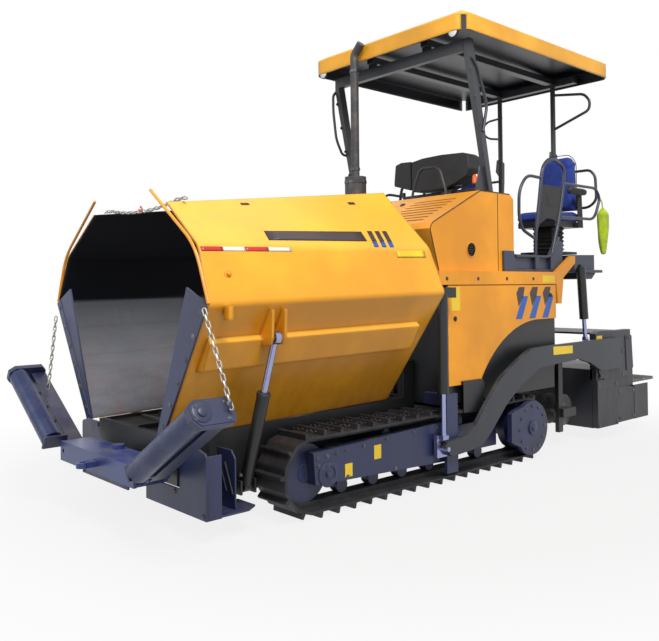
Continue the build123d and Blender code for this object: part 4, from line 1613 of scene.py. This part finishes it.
@dataclass
class Guards:
    """Bent tube guards round the deck with their infill panels, and the hoop on the hood."""

    rail_y: float = 868
    ease: float = 100
    lines: tuple = (     # radius, then the line along and up
        (16, ((1030, 1790), (1023, 1994), (958, 2281), (899, 2611), (755, 2708), (526, 2649),
              (540, 2479), (634, 2136), (773, 1790))),
        (14, ((908, 2508), (1151, 2515), (1271, 2370), (1277, 2141), (1232, 2026), (1037, 1954))),
        (14, ((545, 2489), (-47, 2492), (-133, 2401), (-20, 2179), (610, 2170))),
        (14, ((1342, 1790), (773, 1790), (640, 1975))))
    feet: Outline = ((990, 1050), (745, 800))
    panel: Outline = ((925, 2450), (1018, 1995), (950, 2090), (830, 2145), (720, 2135), (645, 2104),
                      (550, 2450))
    recess: Outline = ((850, 2395), (820, 2260), (700, 2260), (680, 2395))
    hoop_x: float = 1450
    hoop: Outline = ((-222, 2326), (-222, 2430), (-122, 2661), (90, 2656), (126, 2621), (194, 2426),
                     (194, 2326))

    def build(self, finishes: Finishes) -> None:
        """Build both guards and the hoop."""
        y = self.rail_y
        tubes = [tube(at_y(line, y), radius, self.ease) for radius, line in self.lines]
        feet = [block(x0, x1, y - 18, y + 14, 1680, 1795) for x0, x1 in self.feet]
        guard = Form.joined(tubes + feet)
        rows = [
            ("guard_panel_{}", plate(self.panel, Plane.SIDE, y - 5, y + 5), "black_plastic", "root",
             "black_plastic", 0.003),
            ("guard_recess_{}", plate(self.recess, Plane.SIDE, y + 4, y + 7), "black_plastic", "root",
             "black_plastic", 0.006),
        ]
        for side in Side:
            made = guard.on(side).piece(f"side_guard_{side.word}", finishes["guard_paint"], "root",
                                        "grey_paint")
            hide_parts("rails")
            dress(side, finishes, rows)
        hoop = tube(at_x(self.hoop, self.hoop_x), 13)
        hoop.piece("hood_hoop", finishes["grey_paint"], "root", "grey_paint")
        log.info("guards")


@dataclass
class Console:
    """Control console under its two hinged covers, with pedestal and guide bar."""

    main: Outline = ((-395, 2480), (-395, 2780), (-251, 2800), (-21, 2804), (246, 2790), (304, 2755),
                     (326, 2635), (290, 2563), (146, 2503), (-39, 2460))
    lid: Outline = ((-640, 2610), (-620, 2775), (-547, 2795), (-410, 2788), (-410, 2514), (-421, 2500),
                    (-640, 2562))
    rear: float = 1062
    front: float = 1268
    lid_inset: tuple[float, float] = (4, 6)
    bar_x: float = 1160
    bar: Outline = ((-600, 2500), (-600, 2440), (420, 2440))
    hinge_x: float = 1272
    hinge_z: float = 2480
    hinge_y: tuple[float, ...] = (-330, -80, 180)

    def build(self, finishes: Finishes) -> None:
        """Build the console."""
        main = plate(self.main, Plane.CROSS, self.rear, self.front)
        lid = plate(self.lid, Plane.CROSS, self.rear + self.lid_inset[0], self.front - self.lid_inset[1])
        cover = Form.joined([main, lid]).piece("console_covers", finishes["black_plastic"], "root",
                                               "black_plastic", 0.02)
        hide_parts("console")
        stand = Form.joined([block(self.bar_x - 50, self.bar_x + 50, -60, 60, 1680, 2470),
                             tube(at_x(self.bar, self.bar_x), 20, 30)])
        stand.piece("console_stand", finishes["grey_paint"], "root", "grey_paint", 0.004)
        hinges = Form.joined([turned_form(((0, 9), (60, 9)), (self.hinge_x, y, self.hinge_z), OUT, 12)
                              for y in self.hinge_y])
        hinges.piece("console_hinges", finishes["bolt_steel"], "root", "worn_steel")
        log.info("console")


@dataclass
class Seats:
    """Two cloth seats on bellows boxes with arm rests."""

    middle: float = 520
    fill: float = 0.7
    cushion: Outline = ((30, 2166), (470, 2160), (512, 2188), (496, 2238), (250, 2232), (30, 2244))
    cushion_y: tuple[float, float] = (300, 740)
    back: Outline = ((310, 2258), (730, 2258), (708, 2770), (655, 2835), (385, 2835), (332, 2770))
    back_x: tuple[float, float] = (12, 100)
    caps: tuple[float, float] = (0.022, 0.02)
    piping_x: float = 56
    piping: Outline = ((318, 2300), (318, 2760), (390, 2846), (650, 2846), (722, 2760), (722, 2300))
    rest: Outline = ((0, 14), (14, 30), (60, 34), (250, 34), (296, 30), (312, 14))
    rest_place: Point = (20, 792, 2452)
    hinge: Outline = ((20, 2100), (110, 2100), (110, 2430), (40, 2430))
    bellows_place: tuple[float, float] = (255, 1850)
    folds: int = 12
    fold_pitch: float = 20
    fold_radii: tuple[float, float, float] = (138, 158, 150)

    def bellows(self) -> Form:
        """Square pleated bellows under the left seat, its radius in and out from pleat to pleat.

        Returns:
            The bellows.
        """
        small, large, end = self.fold_radii
        pitch = self.fold_pitch
        folds = [(pitch * (n + 1), large if n % 2 else small) for n in range(self.folds)]
        x, z = self.bellows_place
        profile = [(0, end), *folds, (262, end)]
        return turned_form(profile, (x, self.middle, z), UP, 4).turned(
            "z", 45, (x * MM, self.middle * MM, 0))

    def build(self, finishes: Finishes) -> None:
        """Build the left seat with the cloth solver, and its mirror."""
        cushion = plate(self.cushion, Plane.SIDE, *self.cushion_y)
        back = plate(self.back, Plane.CROSS, *self.back_x)
        for word, form, cap in (("cushion", cushion, self.caps[0]), ("back", back, self.caps[1])):
            soft = swollen(form, f"seat_{word}_left", finishes["seat_fabric"], "root", "seat_fabric",
                           cap)
            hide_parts("seats")
            self.mirrored(soft, f"seat_{word}_right")
        hinge = Form.joined([plate(self.hinge, Plane.SIDE, 755, 770),
                             block(40, 110, 725, 760, 2100, 2149)])
        before = [
            ("seat_piping_{}", tube(at_x(self.piping, self.piping_x), 4, 60, 8), "black_plastic", "root",
             "black_plastic", 0.0),
            ("arm_rest_{}", turned_form(self.rest, self.rest_place, AHEAD, 20), "black_plastic", "root",
             "black_plastic", 0.0),
            ("arm_hinge_{}", hinge, "black_plastic", "root", "black_plastic", 0.004),
        ]
        base = Form.joined([block(60, 450, 320, 720, 1835, 1860), block(40, 470, 310, 730, 2100, 2158)])
        after = [("seat_base_{}", base, "black_paint", "root", "black_paint", 0.004)]
        bellows = self.bellows()
        for side in Side:
            dress(side, finishes, before)
            made = bellows.on(side).piece(f"seat_bellows_{side.word}", finishes["rubber"], "root",
                                          "black_plastic", 0.003, 20)
            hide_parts("seat_bases")
            dress(side, finishes, after)
        log.info("seats")

    def mirrored(self, soft: bpy.types.Object, name: str) -> None:
        """A mirrored copy of a cloth piece on the other side, with its faces turned back outwards.

        Args:
            soft: the cloth piece.
            name: name of the copy.
        """
        mesh = soft.data.copy()
        place = np.empty(len(mesh.vertices) * 3)
        mesh.vertices.foreach_get("co", place)
        place[1::3] *= -1
        mesh.vertices.foreach_set("co", place)
        mesh.flip_normals()
        thing = bpy.data.objects.new(name, mesh)
        bpy.context.collection.objects.link(thing)
        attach(thing, "root")


@dataclass
class Bag:
    """Soft sack that hangs by its neck from the rear bend of the left guard."""

    place: tuple[float, float] = (-165, 885)
    low: float = 1835
    high: float = 2303
    belly: float = 66

    def build(self, finishes: Finishes) -> None:
        """Build the sack.

        Its radius over the height t and round the turn v is
        r(t) · (1 + 0.05 sin(5v + 4t) + 0.04 sin(3v − 9t)), and near the top its neck gathers in
        pleats: r(t) · (1 + 0.12 sin(9v)).
        """
        t = np.linspace(0, 1, 60)[:, None]
        v = np.linspace(0, 2 * math.pi, 56, endpoint=False)[None, :]
        belly = np.sin(np.clip(t * 1.12 + 0.06, 0, 1) * math.pi * 0.5) ** 0.45
        taper = 1 - 0.86 * np.clip((t - 0.84) / 0.16, 0, 1) ** 1.4
        radius = self.belly * belly * taper * (1 + 0.05 * np.sin(5 * v + 4 * t) + 0.04 * np.sin(3 * v - 9 * t)
                                       + 0.12 * np.clip((t - 0.8) / 0.2, 0, 1) * np.sin(9 * v))
        radius[0] *= 0.2
        x, y = self.place
        sway = 3 * np.sin(t * 2.4)
        grid = np.stack([x + sway + radius * np.cos(v), y - 4 + 0.8 * radius * np.sin(v),
                         np.broadcast_to(self.low + (self.high - self.low) * t, radius.shape)], -1) * MM
        sack = closed_grid(grid).piece("hanging_bag", finishes["bag_fabric"], "root", "seat_fabric",
                                       smooth=180)
        strap = tube([(x + 4, y - 4, 2290), (x + 8, y - 6, 2350), (-138, 870, 2398),
                      (-128, 852, 2380)], 6, 30, 8)
        strap.piece("bag_strap", finishes["bag_fabric"], "root", "seat_fabric", smooth=60)
        log.info("bag")


# ---------------------------------------------------------------- roof


@dataclass
class Roof:
    """Posts, hoops and beams that carry the roof, with its lamps and the flashing lamp."""

    post_x: float = -161
    post: Outline = ((1588, 2330), (1646, 2330), (1902, 3470), (1902, 3597), (1842, 3597))
    gusset: Outline = ((1601, 2330), (1795, 2330), (1737, 2545), (1611, 2545))
    rear_plate: Outline = ((-93, 2934), (-150, 2957), (-230, 2913), (-225, 2694), (-210, 2527),
                           (-180, 2521), (-164, 2722), (-72, 2803))
    hoop: Outline = ((340, 2705), (749, 2700), (806, 2634), (817, 2387), (733, 2320), (340, 2320))
    left_handle: Outline = ((328, 3544), (697, 3487), (762, 3403), (749, 3313), (321, 3168))
    right_handle: Outline = ((-308, 3416), (-500, 3404), (-570, 3358), (-558, 3264), (-489, 3208),
                             (-312, 3175))
    left_rail: Outline = ((1872, 3438), (1800, 3370), (1668, 3062), (1730, 2832))
    right_rail: Outline = ((1880, 3476), (1925, 3430), (1925, 3272), (1888, 2998), (1809, 2857),
                           (1740, 2852))
    rail_y: float = 830
    lamp_x: float = 2075
    lamp_y: tuple[float, float] = (-800, 800)
    lamp_z: float = 3612
    shell: Outline = ((-40, 8), (-38, 26), (-20, 44), (0, 48), (5, 48), (5, 43))
    glass: Outline = ((0, 10), (1, 43), (6, 42), (9, 30), (10, 4))
    beacon: tuple[float, float] = (1262, 400)
    dome: Outline = ((0, 36), (6, 38), (60, 37), (78, 30), (86, 16), (88, 3))
    dome_foot: Outline = ((0, 42), (12, 42), (18, 38))

    def frame_forms(self) -> list[Form]:
        """Posts and tubes of the left half.

        Returns:
            The forms.
        """
        x = self.post_x
        return [plate(self.post, Plane.SIDE, 770, 825),
                plate(self.gusset, Plane.SIDE, 785, 797),
                tube([(x, 335, 1680), (x, 335, 3660)], 26, 0, 16),
                plate(self.rear_plate, Plane.SIDE, 329, 341),
                tube(at_x(self.hoop, x), 14, 70),
                block(-200, 1900, 295, 375, 3640, 3700)]

    def beam_forms(self) -> list[Form]:
        """Cross beams, hand rails and the pads that carry the roof.

        Returns:
            The forms.
        """
        return [block(1842, 1902, -770, 770, 3500, 3597),
                block(-200, -130, -600, 600, 3620, 3690),
                tube(at_x(self.left_handle, self.post_x), 14),
                tube(at_x(self.right_handle, self.post_x), 12, 50),
                tube(at_y(self.left_rail, self.rail_y), 13),
                tube(at_y(self.right_rail, -self.rail_y), 13),
                block(1842, 1880, 295, 375, 3590, 3645),
                block(1842, 1880, -375, -295, 3590, 3645)]

    def build(self, finishes: Finishes) -> None:
        """Build the roof's frame and lamps."""
        half = Form.joined(self.frame_forms())
        grey = finishes["grey_paint"]
        left = half.piece("roof_frame_left", grey, "root", "grey_paint", 0.003)
        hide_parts("canopy_frame")
        half.on(Side.RIGHT).piece("roof_frame_right", grey, "root", "grey_paint", 0.003)
        Form.joined(self.beam_forms()).piece("roof_beams", grey, "root", "grey_paint", 0.003)
        holes = bolts([(1720 + 52 * n, 825, 2660 + 230 * n) for n in range(4)], OUT, 10, 6)
        holes.both().piece("post_bolts", finishes["bolt_steel"], "root", "worn_steel")
        self.lamps(finishes)
        log.info("roof frame and lamps")

    def lamps(self, finishes: Finishes) -> None:
        """Two round work lamps in the roof's front corners and the orange flashing lamp.

        Args:
            finishes: all finishes.
        """
        spots = [(self.lamp_x, y, self.lamp_z) for y in self.lamp_y]
        hangers = [block(2050, 2066, y - 12, y + 12, 3650, 3690) for y in self.lamp_y]
        cups = Form.joined([turned_form(self.shell, spot, AHEAD) for spot in spots] + hangers)
        cup = cups.piece("roof_lamps", finishes["black_plastic"], "root", "black_plastic")
        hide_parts("lamps")
        glass = Form.joined([turned_form(self.glass, spot, AHEAD) for spot in spots])
        glass.piece("roof_lamp_glass", finishes["lamp_glass"], "root", "lamp_glass")
        dome = turned_form(self.dome, (*self.beacon, 2480), UP)
        dome.piece("beacon", finishes["beacon_glass"], "root", "lamp_glass")
        foot = Form.joined([turned_form(self.dome_foot, (*self.beacon, 2464), UP, 28),
                            block(1150, 1290, 385, 415, 2454, 2464)])
        foot.piece("beacon_foot", finishes["black_plastic"], "root", "black_plastic", 0.002)


# ---------------------------------------------------------------- rear


@dataclass
class Screed:
    """Screed with its side plates, gear covers, flaps, bolts and step plate; stands for the plain one."""

    half: float = 900
    side: Outline = ((-300, 600), (98, 600), (98, 690), (98, 900), (98, 1050), (20, 1078), (-313, 1070),
                     (-600, 1070), (-600, 600))
    low: Outline = ((-303, 128), (98, 132), (98, 600), (-303, 600))
    end: Outline = ((-350, 130), (-715, 130), (-718, 300), (-718, 460), (-350, 497))
    flap: Outline = ((-480, 1010), (-610, 1010), (-640, 670), (-500, 650))
    cover_middle: tuple[float, float] = (-54, 735)
    cover_radius: float = 135
    cover_tail: Outline = ((-430, 870), (-430, 600))
    heads: tuple[Point, ...] = (
        (40, 945, 620), (40, 945, 850), (-400, 945, 620), (-400, 945, 850), (-180, 945, 860),
        (70, 942, 160), (70, 942, 540), (-270, 942, 160), (-270, 942, 540),
        (-400, 912, 170), (-400, 912, 440), (-680, 912, 170), (-680, 912, 430),
        (-560, 938, 985), (-520, 938, 985), (-590, 938, 985))
    label: Outline = ((85, 1030), (-20, 1030), (-20, 930), (85, 930))
    arm_label: Outline = ((944, 980), (620, 972), (620, 902), (944, 905))
    grip_x: tuple[int, int, int] = (-1195, -780, 26)
    grip_width: float = 8

    def side_forms(self) -> list[Form]:
        """Plates of the left end.

        The gear cover's round end is at its middle + radius · (cos a, sin a), a from −90° to 90°.

        Returns:
            The forms.
        """
        turn = np.linspace(-math.pi / 2, math.pi / 2, 16)
        (x, z), radius = self.cover_middle, self.cover_radius
        bow = [(x + radius * math.cos(a), z + radius * math.sin(a)) for a in turn]
        return [plate(self.side, Plane.SIDE, 860, 930),
                plate(self.low, Plane.SIDE, self.half - 20, 942),
                plate(self.end, Plane.SIDE, self.half - 20, 912),
                plate([*bow, *self.cover_tail], Plane.SIDE, 930, 945),
                plate(self.flap, Plane.SIDE, 930, 938)]

    def build(self, finishes: Finishes) -> None:
        """Build screed, flaps, bolts, labels and step plate."""
        left = self.side_forms()
        body = Form.joined([block(-720, 98, -890, 890, 128, 700), block(-560, 60, -860, 860, 1040, 1060),
                            *left, *[form.on(Side.RIGHT) for form in left]])
        made = body.piece("screed_plates", finishes["screed_paint"], "screed", "dark_paint", 0.003)
        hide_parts("screed")
        bolts(self.heads, OUT).both().piece("screed_bolts", finishes["bolt_steel"], "screed",
                                            "worn_steel")
        film(self.label, 930).both().piece("screed_labels", finishes["label_yellow"], "screed",
                                           "lamp_glass")
        film(self.arm_label, 985, 0.4, 0.9).both().piece("tow_arm_labels", finishes["label_yellow"],
                                                         "screed", "lamp_glass")
        grip = [block(x, x + self.grip_width, -878, 878, 527, 532) for x in range(*self.grip_x)]
        Form.joined(grip).piece("step_grip", finishes["worn_steel"], "screed", "worn_steel")
        log.info("screed")


@dataclass
class Details:
    """Glands and ports of the wing cylinders, and clamps of the exhaust."""

    foot: Point = (4100, 680, 255)
    eye: Point = (4100, 1010, 1222)
    gland_share: float = 0.615
    gland_radius: float = 46
    port: Outline = ((0, 14), (26, 14), (30, 10))
    port_place: Point = (4130, 700, 330)
    port_way: Point = (0.9, -0.2, 0.2)
    pipe: tuple[float, float] = (2140, -300)
    pipe_clamp: Outline = ((0, 42), (2, 44), (26, 44), (28, 42))
    pipe_clamps: tuple[float, ...] = (2600, 3500)
    silencer_clamp: Outline = ((0, 102), (24, 103), (26, 100))
    silencer_clamps: tuple[float, ...] = (2350, 2480)

    def gland(self) -> Form:
        """The gland nut round the left wing cylinder, at a share of its length.

        Returns:
            The nut.
        """
        a, b = np.array(self.foot, float), np.array(self.eye, float)
        radius = self.gland_radius
        profile = [(0, radius * 0.9), (3, radius), (22, radius), (25, radius * 0.88)]
        return turned_form(profile, tuple(a + (b - a) * self.gland_share), tuple(b - a), 24)

    def build(self, finishes: Finishes) -> None:
        """Add glands, ports and clamps."""
        port = turned_form(self.port, self.port_place, self.port_way, 14)
        rows = [
            ("wing_gland_{}", self.gland(), "black_paint", "wing_barrel_{}", "black_paint", 0.0),
            ("wing_port_{}", port, "bolt_steel", "wing_barrel_{}", "worn_steel", 0.0),
        ]
        for side in Side:
            dress(side, finishes, rows)
        clamps = [turned_form(self.pipe_clamp, (*self.pipe, z), UP, 28) for z in self.pipe_clamps]
        clamps += [turned_form(self.silencer_clamp, (*self.pipe, z), UP, 40)
                   for z in self.silencer_clamps]
        Form.joined(clamps).piece("exhaust_clamps", finishes["bolt_steel"], "root", "worn_steel")
        log.info("glands and clamps")


def main() -> None:
    """Build the machine's looks in order, and report each group."""
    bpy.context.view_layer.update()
    Stage().build()
    finishes = Finishes()
    CadDress().dress(finishes)
    for group in (Wings(), RollerArms(), Tracks(), TrackGuards(), Body(), Deck(), Guards(), Console(),
                  Seats(), Bag(), Roof(), Screed(), Details()):
        group.build(finishes)
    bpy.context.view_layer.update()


if __name__ == "__main__":
    main()
